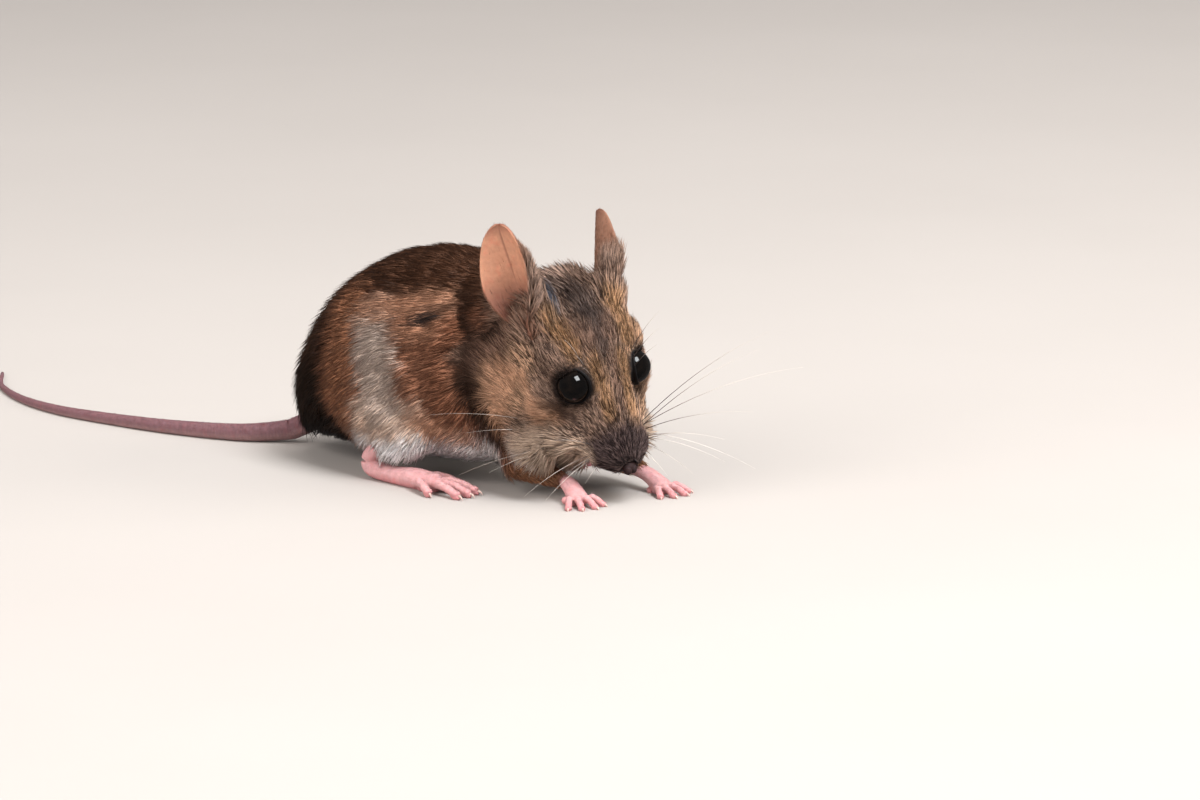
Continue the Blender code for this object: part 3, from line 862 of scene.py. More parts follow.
@dataclass
class Digit:
    """One toe or finger: out of the palm, over its knuckles and down to a pad and a claw."""

    start: Vector
    heading: float
    length: float
    radius: float
    arch: float
    claw_length: float

    def forward(self) -> Vector:
        """Its heading over the floor."""
        return Vector((cos(self.heading), sin(self.heading), 0))

    def forms(self) -> list[Object]:
        """The digit with the swellings of its joints and its pads.

        Returns:
            Its shells, not yet melted.
        """
        def out(share: float) -> Vector:
            """A place along the digit."""
            return self.start + self.forward() * self.length * share

        top, r, height = UP * self.arch, self.radius, self.start.z
        points = [self.start, out(0.38) + top, out(0.72) + top * 0.35,
                  out(0.9) - UP * (height - r * 0.7), out(1.0) - UP * (height - 0.35)]
        made = [limb(points, [r, r * 0.92, r * 0.84, r * 0.84, 0.36], sides=14)]
        turn = Matrix.Rotation(self.heading, 4, "Z")
        for share, lift, size in SWELLINGS:
            at = out(share)
            at.z = max(height + lift + (self.arch if share < 0.5 else 0.0), r * 0.55)
            made.append(ball("knuckle", stretched(at, Vector(size) * r, turn), detail=3))
        return made

    def claw(self) -> Object:
        """A small curved claw, out of the tip and down to the floor."""
        ahead, side = self.forward(), Vector((-sin(self.heading), cos(self.heading), 0))
        base = self.start + ahead * (self.length - 0.1) + Vector((0, 0, 0.62 - self.start.z))
        reach = self.claw_length
        points = [base - ahead * 0.35, base + ahead * reach * 0.35 + UP * 0.05,
                  base + ahead * reach * 0.75 - UP * 0.17, base + ahead * reach - UP * 0.5]
        line = along(points, LIMB_STEPS)
        widths = spread([0.2, 0.17, 0.1, 0.025], LIMB_STEPS)
        return tube("claw", line, widths, 8, flatten=1.25, floor=0.02, up=side.cross(ahead) * -1)


@dataclass
class Foot:
    """A foot with its digits, modelled round its heel or wrist, then set in place."""

    name: str
    pose: Matrix
    stem: tuple  # joints of the sole or palm
    stem_radii: tuple
    flatten: float
    digits: list[Digit]
    pads: tuple  # place and size of the pads under it
    grain: float = 0.13

    def build(self) -> Object:
        """The foot as one melted shape in place."""
        forms = [limb(self.stem, self.stem_radii, sides=20, flatten=self.flatten)]
        for digit in self.digits:
            forms += digit.forms()
        forms += [ball("pad", stretched(at, size), detail=3) for at, size in self.pads]
        made = melted(joined(self.name, forms), self.grain, 3)
        made.data.transform(self.pose)
        grounded(made)
        return made

    def claws(self) -> list[Object]:
        """Its claws in place."""
        made = [digit.claw() for digit in self.digits]
        for claw in made:
            claw.data.transform(self.pose)
        return made


HEEL_Y = 13.0
HEEL_TURN = radians(2)
FOOT_LENGTH = 21.5
TOE_ROOT = 1.5  # how far a toe goes on inside the sole
HIND_TOES = (  # root along the foot (share), offset, splay in degrees, length (share)
    (0.58, 1.7, 24, 0.22),
    (0.66, 1.2, 8, 0.34),
    (0.68, 0.1, 0, 0.33),
    (0.66, -1.0, -8, 0.33),
    (0.52, -1.6, -30, 0.22),
)
FINGERS = (  # offset, splay in degrees, length
    (1.35, 30, 3.7),
    (0.5, 10, 4.4),
    (-0.5, -10, 4.3),
    (-1.35, -32, 3.5),
)
FORE_TIPS = {RIGHT: Vector((41.5, -8.3, 0.0)), LEFT: Vector((46.6, 8.0, 0.0))}
FORE_TURN = {RIGHT: radians(-24), LEFT: radians(-4)}
WRIST_BACK = 7.4
PAW_SINK = 0.3


def hind_foot(side: int) -> Foot:
    """The long hind foot, flat on the floor.

    Args:
        side: RIGHT or LEFT.

    Returns:
        The foot's plan.
    """
    digits = [Digit(Vector((FOOT_LENGTH * root - TOE_ROOT, side * offset, 1.15)), side * radians(splay),
                    FOOT_LENGTH * length + TOE_ROOT, 0.76, 0.45, 1.0)
              for root, offset, splay, length in HIND_TOES]
    pose = (BODY.matrix @ Matrix.Translation((0, side * HEEL_Y, 0))
            @ Matrix.Rotation(side * HEEL_TURN, 4, "Z"))
    stem = ((1.6, 0, 5.4), (-0.2, 0, 3.2), (0.6, 0, 1.75), (5.0, 0, 1.25), (10.0, 0, 1.35), (14.2, 0, 1.15))
    pads = tuple(((x, side * y, 0.45), (1.0, 0.75, 0.5))
                 for x, y in ((12.6, 1.5), (14.2, 0.5), (14.0, -0.9), (11.0, -1.5)))
    return Foot("hind_foot_" + SIDES[side], pose, stem, (1.7, 1.7, 1.75, 1.7, 2.05, 1.9), 0.85, digits, pads)


def fore_paw(side: int) -> Foot:
    """A small forepaw with spread fingers and the stub of a thumb.

    Args:
        side: RIGHT or LEFT.

    Returns:
        The paw's plan.
    """
    digits = [Digit(Vector((3.2, side * offset, 0.95)), side * radians(splay), length, 0.6, 0.5, 0.75)
              for offset, splay, length in FINGERS]
    at = FORE_TIPS[side] - Vector((cos(FORE_TURN[side]), sin(FORE_TURN[side]), 0)) * WRIST_BACK
    pose = (BODY.matrix @ Matrix.Translation((at.x, at.y, -PAW_SINK))
            @ Matrix.Rotation(FORE_TURN[side], 4, "Z"))
    stem = ((-2.4, 0, 3.3), (0.0, 0, 3.0), (1.9, 0, 2.2), (3.9, 0, 1.15))
    pads = (((2.3, side * 1.7, 1.0), (0.7, 0.6, 0.6)), ((1.8, side * 0.9, 0.7), (0.8, 0.6, 0.6)),
            ((1.8, side * -0.9, 0.7), (0.8, 0.6, 0.6)))
    return Foot("fore_paw_" + SIDES[side], pose, stem, (1.2, 1.4, 1.55, 1.7), 0.8, digits, pads)


# ---- Tail ----
@dataclass
class Tail:
    """The tail, laid along the floor and tapering to a fine tip."""

    route: tuple = ((-28.0, -1.4), (-35.3, -6.2), (-47.0, -9.4), (-58.7, -10.7), (-72.0, -10.9),
                    (-84.0, -8.0), (-95.0, -2.0), (-103.0, 6.0))
    root: tuple = ((-21.5, 0.4, 6.4), (-24.8, -0.2, 3.9))
    base_radius: float = 1.7
    tip_radius: float = 0.3
    sink: float = 0.92
    rise: float = 0.6
    steps: int = 24
    sides: int = 20

    def centre_line(self) -> tuple[list[Vector], list[float]]:
        """Centres and radii of its rings, in the row frame.

        Returns:
            Both, from root to tip.
        """
        flat = along([Vector((x, y, 0)) for x, y in self.route], self.steps)
        line, radii = [], []
        for i, at in enumerate(flat):
            share = i / (len(flat) - 1)
            radius = self.base_radius + (self.tip_radius - self.base_radius) * share**0.85
            line.append(at + Vector((0, 0, radius * self.sink + self.rise * (1 - share) ** 12)))
            radii.append(radius)
        hidden = along([Vector(p) for p in self.root] + [line[0]], 6)[:-1]
        line = hidden + line
        radii = [self.base_radius * 1.02] * len(hidden) + radii
        return [BODY.matrix @ p for p in line], radii

    def build(self) -> Object:
        """The tail as one closed tube."""
        line, radii = self.centre_line()
        return tube("tail", line, radii, self.sides, floor=0.0)


# ---- Face ----
@dataclass
class EyeSet:
    """One eye and the lids round it."""

    side: int
    radius: float = 2.7
    looks: tuple = (0.3, 0.78, 0.5)  # the way the left eye looks, in the head's axes
    opening: float = 0.4  # the lids' margin lies this far out from the eye's centre
    lid_wall: float = 0.2
    clearance: float = 0.03
    bulge: float = 0.16  # how far the cornea stands out
    rim_steps: int = 64
    rim_sides: int = 12

    def axis(self) -> Vector:
        """The way it looks."""
        return HEAD.heading(self.looks[0], self.side * self.looks[1], self.looks[2])

    def centre(self) -> Vector:
        """Its centre."""
        return middle("eye_" + SIDES[self.side])

    def pose(self) -> Matrix:
        """Sets what is modelled round the origin, looking up, in its place."""
        return Matrix.Translation(self.centre()) @ self.axis().to_track_quat("Z", "Y").to_matrix().to_4x4()

    def collar(self) -> Object:
        """A bowl of flesh behind the eye, with the rolled margin of the lids at its rim.

        Returns:
            The lids as one closed shape in place.
        """
        outer = self.radius + self.lid_wall
        bm = bmesh.new()
        bmesh.ops.create_icosphere(bm, subdivisions=4, radius=outer)
        everything = list(bm.verts) + list(bm.edges) + list(bm.faces)
        bmesh.ops.bisect_plane(bm, geom=everything, plane_co=(0, 0, self.opening),
                               plane_no=(0, 0, 1), clear_outer=True)
        bmesh.ops.holes_fill(bm, edges=[e for e in bm.edges if e.is_boundary], sides=0)
        bmesh.ops.triangulate(bm, faces=bm.faces)
        bowl = from_bmesh("eye_bowl", bm)
        rim_radius = (outer**2 - self.opening**2) ** 0.5 - self.lid_wall * 0.35
        rings = []
        for a in (tau * k / self.rim_steps for k in range(self.rim_steps)):
            out = Vector((cos(a), sin(a), 0))
            thick = self.lid_wall * (0.95 + 0.2 * cos(2 * a))
            rings.append([out * (rim_radius + thick * cos(b)) + UP * (self.opening + thick * sin(b))
                          for b in (tau * k / self.rim_sides for k in range(self.rim_sides))])
        bm = bmesh.new()
        skinned(bm, rings, round_again=True)
        made = combined(bowl, from_bmesh("eye_rim", bm), "UNION")
        made.data.transform(self.pose())
        return made

    def room(self) -> Object:
        """The space that the eye takes."""
        size = self.radius + self.clearance
        return ball("eye_room", Matrix.Translation(self.centre()) @ Matrix.Scale(size, 4), detail=5)

    def eye(self) -> Object:
        """The eyeball with its bulging cornea."""
        made = ball("eyeball_" + SIDES[self.side], Matrix.Scale(self.radius, 4), detail=5)
        for vert in made.data.vertices:
            vert.co.z += self.bulge * max(0.0, vert.co.z / self.radius - 0.5)**2
        made.data.transform(self.pose())
        return made


@dataclass
class Nose:
    """The small moist pad between the whiskers, with its two nostrils."""

    reach: float = 14.2  # from the head's origin
    drop: float = -4.3
    grain: float = 0.09
    nostril_turn: float = radians(50)

    def form(self, at: tuple, size: tuple, turn: float = 0.0, detail: int = 4) -> Object:
        """A ball of this size beside the nose's own place, turned about the head's upright."""
        place = Matrix.Translation((self.reach + at[0], at[1], self.drop + at[2]))
        spin = Matrix.Rotation(turn, 4, "Z")
        return ball("nose_form", HEAD.matrix @ place @ spin @ Matrix.Diagonal((*size, 1)), detail)

    def build(self) -> Object:
        """The nose as one closed shape."""
        forms = [self.form((-0.5, 0, 0.1), (1.2, 1.15, 0.9))]
        forms += [self.form((0.25, side * 0.5, 0), (0.85, 0.62, 0.78)) for side in SIDES]
        made = melted(joined("nose_pad", forms), self.grain, 3)
        for side in SIDES:
            hole = self.form((0.75, side * 0.95, -0.05), (0.5, 0.2, 0.26), side * self.nostril_turn, 3)
            made = combined(made, hole, "DIFFERENCE")
        return made


# ---- The skin ----
@dataclass(frozen=True)
class Pelt:
    """The coat over one solid of flesh."""

    depth: float  # how deep the skin lies under the solid's surface
    length: float  # of its tufts
    lie: tuple = (-1.0, 0.0, -0.3)  # heading of its tufts in the body's axes; None follows the head


PELTS = {
    "muzzle": Pelt(0.32, 1.45, lie=None),
    "head": Pelt(0.62, 2.7, lie=None),
    "neck": Pelt(1.15, 4.2, lie=(-0.9, 0.0, -0.35)),
    "chest": Pelt(1.2, 4.6, lie=(-0.9, 0.0, -0.45)),
    "trunk": Pelt(1.35, 5.2, lie=(-1.0, 0.0, -0.3)),
    "rump": Pelt(1.2, 4.8, lie=(-0.6, 0.0, -0.9)),
    "thigh": Pelt(1.15, 4.6, lie=(-0.85, 0.0, -0.6)),
    "shank": Pelt(0.75, 3.0, lie=(-0.5, 0.0, -0.9)),
    "upper_arm": Pelt(0.85, 3.4, lie=(-0.3, 0.0, -0.9)),
    "forearm": Pelt(0.55, 2.2, lie=(0.9, 0.0, -0.5)),
}
LIMBS = ("shank", "upper_arm", "forearm")
COAT_BLUR, SLOPE_BLUR = 14, 12  # rounds of blurring of the pelts and of the skin's slope


def kind_of(name: str) -> str:
    """A name without its side."""
    return name.replace("_left", "").replace("_right", "")


FLESH = tuple(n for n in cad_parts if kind_of(n) in PELTS)
KINDS = np.array([kind_of(n) for n in FLESH])


def read_all(items: Sequence, key: str, kind: type, width: int = 1) -> Array:
    """One property of every point, edge or face of a mesh."""
    flat = np.zeros(len(items) * width, kind)
    items.foreach_get(key, flat)
    return flat.reshape(-1, width) if width > 1 else flat


class Surface:
    """A skin mesh as arrays, with values that can be blurred over it."""

    def __init__(self, mesh: Mesh) -> None:
        """Reads places, normals and edges."""
        self.places = read_all(mesh.vertices, "co", np.float32, 3).astype(float)
        self.normals = read_all(mesh.vertices, "normal", np.float32, 3).astype(float)
        self.edges = read_all(mesh.edges, "vertices", np.int32, 2)
        self.degree = np.bincount(self.edges.ravel(), minlength=len(self.places)).astype(float)

    def blurred(self, values: Array, rounds: int) -> Array:
        """Values averaged with their neighbours.

        Args:
            values: a row for each point.
            rounds: how many times.

        Returns:
            The blurred values.
        """
        columns = values.reshape(len(values), -1).astype(float)
        a, b = self.edges[:, 0], self.edges[:, 1]
        for _ in range(rounds):
            total = columns.copy()
            for k in range(columns.shape[1]):
                total[:, k] += np.bincount(a, columns[b, k], len(columns))
                total[:, k] += np.bincount(b, columns[a, k], len(columns))
            columns = total / (self.degree + 1)[:, None]
        return columns.reshape(values.shape)


def nodes_near(places: Array) -> Array:
    """For each place, the number in FLESH of the solid that is nearest."""
    owned = [(np.array(v.co) / MM, i) for i, n in enumerate(FLESH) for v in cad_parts[n].data.vertices]
    tree = tree_of([at for at, _ in owned])
    return np.array([owned[tree.find(p)[1]][1] for p in places])


@dataclass
class Skin:
    """The one skin of the animal: body, lids, nose, ears, feet and tail in one closed mesh."""

    grain: float = 0.42
    swell: float = 0.3  # closes the cuts between the solids
    softening: int = 9
    faces: int = 175000  # triangles at most
    stuffing: float = 3.0  # radius of the ball that fills each eye socket before the lids are cut
    crown_depth: float = 1.15  # how deep the skin lies under the coat between the ears
    parts: dict = field(default_factory=dict)  # trees of the pieces that stay bare

    def flesh(self) -> Object:
        """The furred solids without their cuts, melted into one.

        Returns:
            The flesh, in millimetres.
        """
        bm = bmesh.new()
        for node in FLESH:
            bm.from_mesh(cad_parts[node].data)
        bmesh.ops.remove_doubles(bm, verts=bm.verts, dist=1e-6)
        bmesh.ops.transform(bm, matrix=Matrix.Scale(1 / MM, 4), verts=bm.verts)
        whole = from_bmesh("flesh", bm, facing_out=True)
        swell = whole.modifiers.new("swell", "DISPLACE")
        swell.strength = self.swell
        swell.mid_level = 0.0
        whole = applied(whole)
        fill = [ball("stuffing", Matrix.Translation(middle("eye_" + side)) @ Matrix.Scale(self.stuffing, 4))
                for side in SIDES.values()]
        return melted(joined("skin", [whole, *fill]), self.grain, self.softening)

    def shrunk(self, body: Object) -> Object:
        """Draws the flesh in by the depth of the coat that grows on it.

        Args:
            body: the melted flesh, out to the tips of the hairs.

        Returns:
            The skin under the coat.
        """
        surface = Surface(body.data)
        owner = nodes_near(surface.places)
        depth = np.array([PELTS[kind].depth for kind in KINDS])[owner]
        x, _, z = HEAD.local(surface.places).T
        crown = ease(-5.5, -11.0, x) * ease(-3.0, 2.0, z) * ease(-24.0, -18.0, x)
        depth = surface.blurred(np.maximum(depth, self.crown_depth * crown), COAT_BLUR) + self.swell
        inward = unit(surface.blurred(surface.normals, 4))
        moved = surface.places - inward * depth[:, None]
        body.data.vertices.foreach_set("co", moved.astype(np.float32).ravel())
        body.data.update()
        return softened(body, 3)

    def with_part(self, body: Object, name: str, part: Object) -> Object:
        """Adds a bare part to the body and remembers its shape.

        Args:
            body: the body so far.
            name: the part's name.
            part: its closed shape, which is used up.

        Returns:
            The body with the part.
        """
        bm = bmesh.new()
        bm.from_mesh(part.data)
        self.parts[name] = BVHTree.FromBMesh(bm)
        bm.free()
        return combined(body, part, "UNION")

    def build(self, ears: Sequence[Ear], feet: Sequence[Foot], tail: Tail, eyes: Sequence[EyeSet],
              nose: Nose) -> Object:
        """Builds the whole skin.

        Args:
            ears: both ears.
            feet: all four feet.
            tail: the tail.
            eyes: both eyes, whose lids the skin carries.
            nose: the nose.

        Returns:
            The skin, in millimetres.
        """
        body = self.shrunk(self.flesh())
        for eye in eyes:
            body = self.with_part(body, "lids_" + SIDES[eye.side], eye.collar())
            body = combined(body, eye.room(), "DIFFERENCE")
        for ear in ears:
            body = self.with_part(body, "ear_" + SIDES[ear.side], ear.leaf())
        for foot in feet:
            body = self.with_part(body, foot.name, foot.build())
        body = self.with_part(body, "tail", tail.build())
        body = self.with_part(body, "nose", nose.build())
        count = triangles(body)
        LOG.info("skin before thinning: %d triangles", count)
        if count > self.faces:
            thin = body.modifiers.new("thin", "DECIMATE")
            thin.ratio = self.faces / count
            body = applied(body)
        body.name = "skin"
        body.data.materials.clear()
        for polygon in body.data.polygons:
            polygon.material_index = 0
        grounded(body)
        return body

    def unwrap(self, skin: Object) -> None:
        """Unwraps the skin by its own shape, for the coat's patches and its own colours."""
        bpy.context.view_layer.objects.active = skin
        skin.select_set(True)
        skin.data.uv_layers.new(name=BAKE_MAP)
        bpy.ops.object.mode_set(mode="EDIT")
        bpy.ops.mesh.select_all(action="SELECT")
        bpy.ops.uv.smart_project(angle_limit=radians(66), island_margin=0.001)
        bpy.ops.object.mode_set(mode="OBJECT")
        skin.select_set(False)


# ---- Markings ----
@dataclass(frozen=True)
class Stroke:
    """A soft-edged stroke of colour over the coat, from one place to another."""

    axes: Axes
    start: tuple  # given on the right side
    end: tuple
    width: float  # half of it
    colour: tuple
    strength: float
    grizzle: float | None = None
    softness: float = 0.6
    ragged: float = 0.16
    depth: float = 1.0  # how much a distance across the animal counts
    both: bool = True  # on both sides alike

    def share(self, places: Array) -> Array:
        """How much of it shows at each place.

        Args:
            places: the skin's points.

        Returns:
            Shares from 0 to 1.
        """
        local = self.axes.local(places)
        if self.both:
            local[:, 1] = -np.abs(local[:, 1])
        flat = np.array((1.0, self.depth, 1.0))
        start, end = np.array(self.start) * flat, np.array(self.end) * flat
        run = end - start
        local = local * flat - start
        along_it = np.clip(local @ run / max(run @ run, 1e-6), 0.0, 1.0)
        away = np.linalg.norm(local - along_it[:, None] * run, axis=1) / self.width
        away = away + self.ragged * waves(places, 2.0, 5)
        return self.strength * ease(1.0 + self.softness, 1.0 - self.softness, away)


SHADING = 1.3  # a coat looks darker than its hairs by this much
BRIGHTEST = 0.9
FLANK_OUT, FLANK_DEPTH = 13.0, 0.3  # on the flanks a stroke is laid from the side


def dyed(red: float, green: float, blue: float) -> Colour:
    """Colour of hair that gives the coat these display values."""
    return tuple(min(SHADING * v, BRIGHTEST) for v in solid(red, green, blue)[:3]) + (1.0,)


def flank(start: tuple, end: tuple, *given: object, **more: object) -> Stroke:
    """A stroke on the body's side, its places given as x and z."""
    start, end = ((x, -FLANK_OUT, z) for x, z in (start, end))
    return Stroke(BODY, start, end, *given, depth=FLANK_DEPTH, **more)


def face(*given: object, **more: object) -> Stroke:
    """A stroke on the head."""
    return Stroke(HEAD, *given, **more)


BACK_BROWN = dyed(65, 41, 28)
RUST = dyed(128, 88, 68)
RUST_WARM = dyed(132, 90, 66)
RUST_DARK = dyed(106, 67, 48)
RUMP_DARK = dyed(41, 28, 20)
# painted sheen: the pale grey patch on the flanks is light mirrored by the coat, over grey underfur where the
# coat parts
FLANK_PARTING_AND_SHEEN = dyed(166, 150, 140)
FLANK_CREAM = dyed(202, 177, 160)
FLANK_TAN = dyed(164, 122, 98)
BELLY_WHITE = dyed(204, 200, 200)
BUFF = dyed(156, 119, 95)
HEAD_BROWN = dyed(114, 92, 80)
CHEEK_BROWN = dyed(92, 68, 57)
UNDER_EYE = dyed(54, 38, 31)
OCHRE = dyed(128, 96, 66)
SLATE = dyed(62, 51, 48)
# painted highlight: blue-grey sky light mirrored along a parted lock on the crown
STEEL_LOCK_AND_SHEEN = dyed(68, 73, 83)
SLIT_DARK = dyed(44, 37, 36)
FROST = dyed(158, 134, 122)
MUZZLE_DARK = dyed(64, 51, 50)
CREAM = dyed(162, 142, 126)
# fair fur of the cheeks; the strokes on the left of the head alone use it as painted light
FAIR_AND_LIT_SIDE = dyed(168, 134, 108)
JOWL = dyed(138, 104, 80)
EYE_RING = dyed(36, 27, 24)
# painted shade over darker fur: the crease behind the shoulder, where the cheek meets the body; the same
# colour darkens small tufts at the back of the cheek
DARK_FUR_AND_CREASE_SHADE = dyed(40, 26, 19)
ARM_BUFF = dyed(120, 84, 62)
EAR_INSIDE = solid(186, 134, 108)
# darker skin at the ear's tip and root; inside the cup towards the root it is also painted shade
EAR_DARK_AND_CUP_SHADE = solid(104, 64, 55)
EAR_BACK = solid(134, 96, 78)
TOE_PINK = solid(196, 128, 130)
TAIL_PALE = solid(146, 114, 114)
BARE_COLOURS = {
    "hind_foot": solid(196, 148, 148),
    "fore_paw": solid(196, 148, 148),
    "tail": solid(112, 80, 84),
    "nose": solid(48, 33, 33),
    "lids": solid(12, 9, 9),
}

BAND = {"softness": 0.5, "ragged": 0.25}
LOCK = {"softness": 0.4, "ragged": 0.05, "both": False}

STROKES = (  # start, end, half width, colour, strength, grizzle
    flank((-2.4, 29.0), (-3.4, 8.0), 2.8, RUST_WARM, 0.9),
    flank((3.0, 11.8), (12.0, 11.8), 3.0, FLANK_CREAM, 0.92, 0.3, ragged=0.25),
    flank((13.0, 11.6), (19.0, 9.8), 2.3, FLANK_TAN, 0.85, 0.3, ragged=0.25),
    # painted sheen over parted grey fur, high on both flanks
    flank((4.4, 25.4), (5.2, 20.0), 4.2, FLANK_PARTING_AND_SHEEN, 0.92, 0.3, softness=0.45, ragged=0.3),
    flank((5.2, 20.0), (6.4, 14.5), 4.0, FLANK_PARTING_AND_SHEEN, 0.92, 0.3, softness=0.45, ragged=0.3),
    flank((1.6, 28.0), (16.0, 30.2), 1.8, FLANK_TAN, 0.85, 0.4, ragged=0.3),
    # painted shade of the crease behind the shoulder, over darker fur, on both flanks
    flank((18.4, 32.0), (22.2, 24.5), 1.8, DARK_FUR_AND_CREASE_SHADE, 0.97, 0.2, **BAND),
    flank((22.2, 24.5), (21.4, 18.5), 1.9, DARK_FUR_AND_CREASE_SHADE, 0.97, 0.2, **BAND),
    flank((21.4, 18.5), (24.6, 10.5), 2.2, DARK_FUR_AND_CREASE_SHADE, 0.97, 0.2, **BAND),
    flank((25.2, 16.8), (26.4, 12.0), 1.5, DARK_FUR_AND_CREASE_SHADE, 0.9, 0.2, **BAND),
    flank((9.0, 25.4), (15.6, 26.4), 1.2, FLANK_TAN, 0.6, 0.4, ragged=0.3),
    flank((12.0, 27.0), (16.6, 29.8), 0.9, SLIT_DARK, 1.0, 0.1, **LOCK),
    face((-13.0, -11.0, -3.0), (-10.0, -11.5, -8.5), 3.4, CHEEK_BROWN, 0.8, 0.8),
    face((-13.2, 1.2, 1.2), (-8.5, 0.6, 3.4), 2.2, SLATE, 0.85, 0.7, softness=0.5, both=False),
    face((-8.5, 0.4, 3.4), (-1.5, -0.6, 4.2), 1.3, SLATE, 0.85, 0.7, both=False),
    face((-16.4, -1.4, -1.4), (-14.8, 2.6, -0.3), 2.1, FROST, 0.85, 0.9),
    face((-8.2, -6.3, 2.3), (-4.6, -2.1, 3.7), 1.8, CHEEK_BROWN, 0.55, 0.8),
    # painted highlight along a parted lock on the right of the crown
    face((-15.8, -0.7, -0.8), (-11.3, -4.3, 2.2), 0.75, STEEL_LOCK_AND_SHEEN, 1.0, 0.25, **LOCK),
    face((-11.3, -4.3, 2.2), (-9.1, -5.6, 2.5), 0.75, STEEL_LOCK_AND_SHEEN, 1.0, 0.25, **LOCK),
    face((-1.0, 0.8, 4.0), (6.4, 0.2, 1.6), 1.0, CHEEK_BROWN, 0.6, 0.8, both=False),
    # painted light: pale strokes on the left of the head alone, lightening the side that the light falls on
    face((-6.4, 4.8, 3.0), (-1.5, 4.2, 2.8), 1.1, FAIR_AND_LIT_SIDE, 0.7, 0.8, both=False),
    face((2.4, 3.4, 1.4), (8.6, 2.4, -0.4), 1.3, FAIR_AND_LIT_SIDE, 0.7, 0.8, both=False),
    # fair fur low on both cheeks
    face((-6.0, -10.6, -3.0), (-1.5, -11.4, -7.0), 2.4, FAIR_AND_LIT_SIDE, 0.6, 0.9),
    # painted light on the left of the head again
    face((-9.0, 6.2, 1.8), (-3.0, 7.6, 1.4), 1.6, FAIR_AND_LIT_SIDE, 0.8, 0.8, both=False),
    face((3.4, 6.6, -2.4), (8.4, 4.8, -4.0), 1.5, FAIR_AND_LIT_SIDE, 0.7, 0.8, both=False),
    face((-1.0, -2.6, 2.6), (7.0, -2.2, 0.8), 1.3, OCHRE, 0.75, 0.9),
    face((-9.5, -5.6, 2.2), (-4.0, -5.0, 2.8), 1.5, OCHRE, 0.75, 0.9),
    face((4.8, -6.0, -2.2), (0.8, -8.6, -4.0), 1.2, UNDER_EYE, 0.9, 0.4, softness=0.5),
    face((3.8, -7.4, -5.2), (-3.6, -10.6, -4.8), 1.4, BUFF, 0.85, 0.4),
    face((-6.0, -12.0, -8.0), (-1.5, -12.0, -11.0), 2.8, BUFF, 0.9, 0.4),
    face((10.4, -4.4, -5.8), (4.5, -6.4, -7.0), 1.9, CREAM, 0.9, 0.6),
    face((11.5, 0.0, -9.0), (4.0, 0.0, -12.5), 4.8, CREAM, 0.95, 0.3, softness=0.4),
    face((1.0, -6.0, -11.0), (-6.0, -5.0, -14.0), 4.6, JOWL, 0.85, 0.5, softness=0.5),
    # dark tufts at the back of the cheek below the ear, in the colour of the crease's painted shade
    face((-13.4, -11.0, -5.0), (-11.8, -11.4, -7.4), 0.8, DARK_FUR_AND_CREASE_SHADE, 0.7, ragged=0.3),
    face((-13.6, -10.6, -4.2), (-11.4, -9.4, -1.6), 1.2, DARK_FUR_AND_CREASE_SHADE, 0.85, ragged=0.3),
)


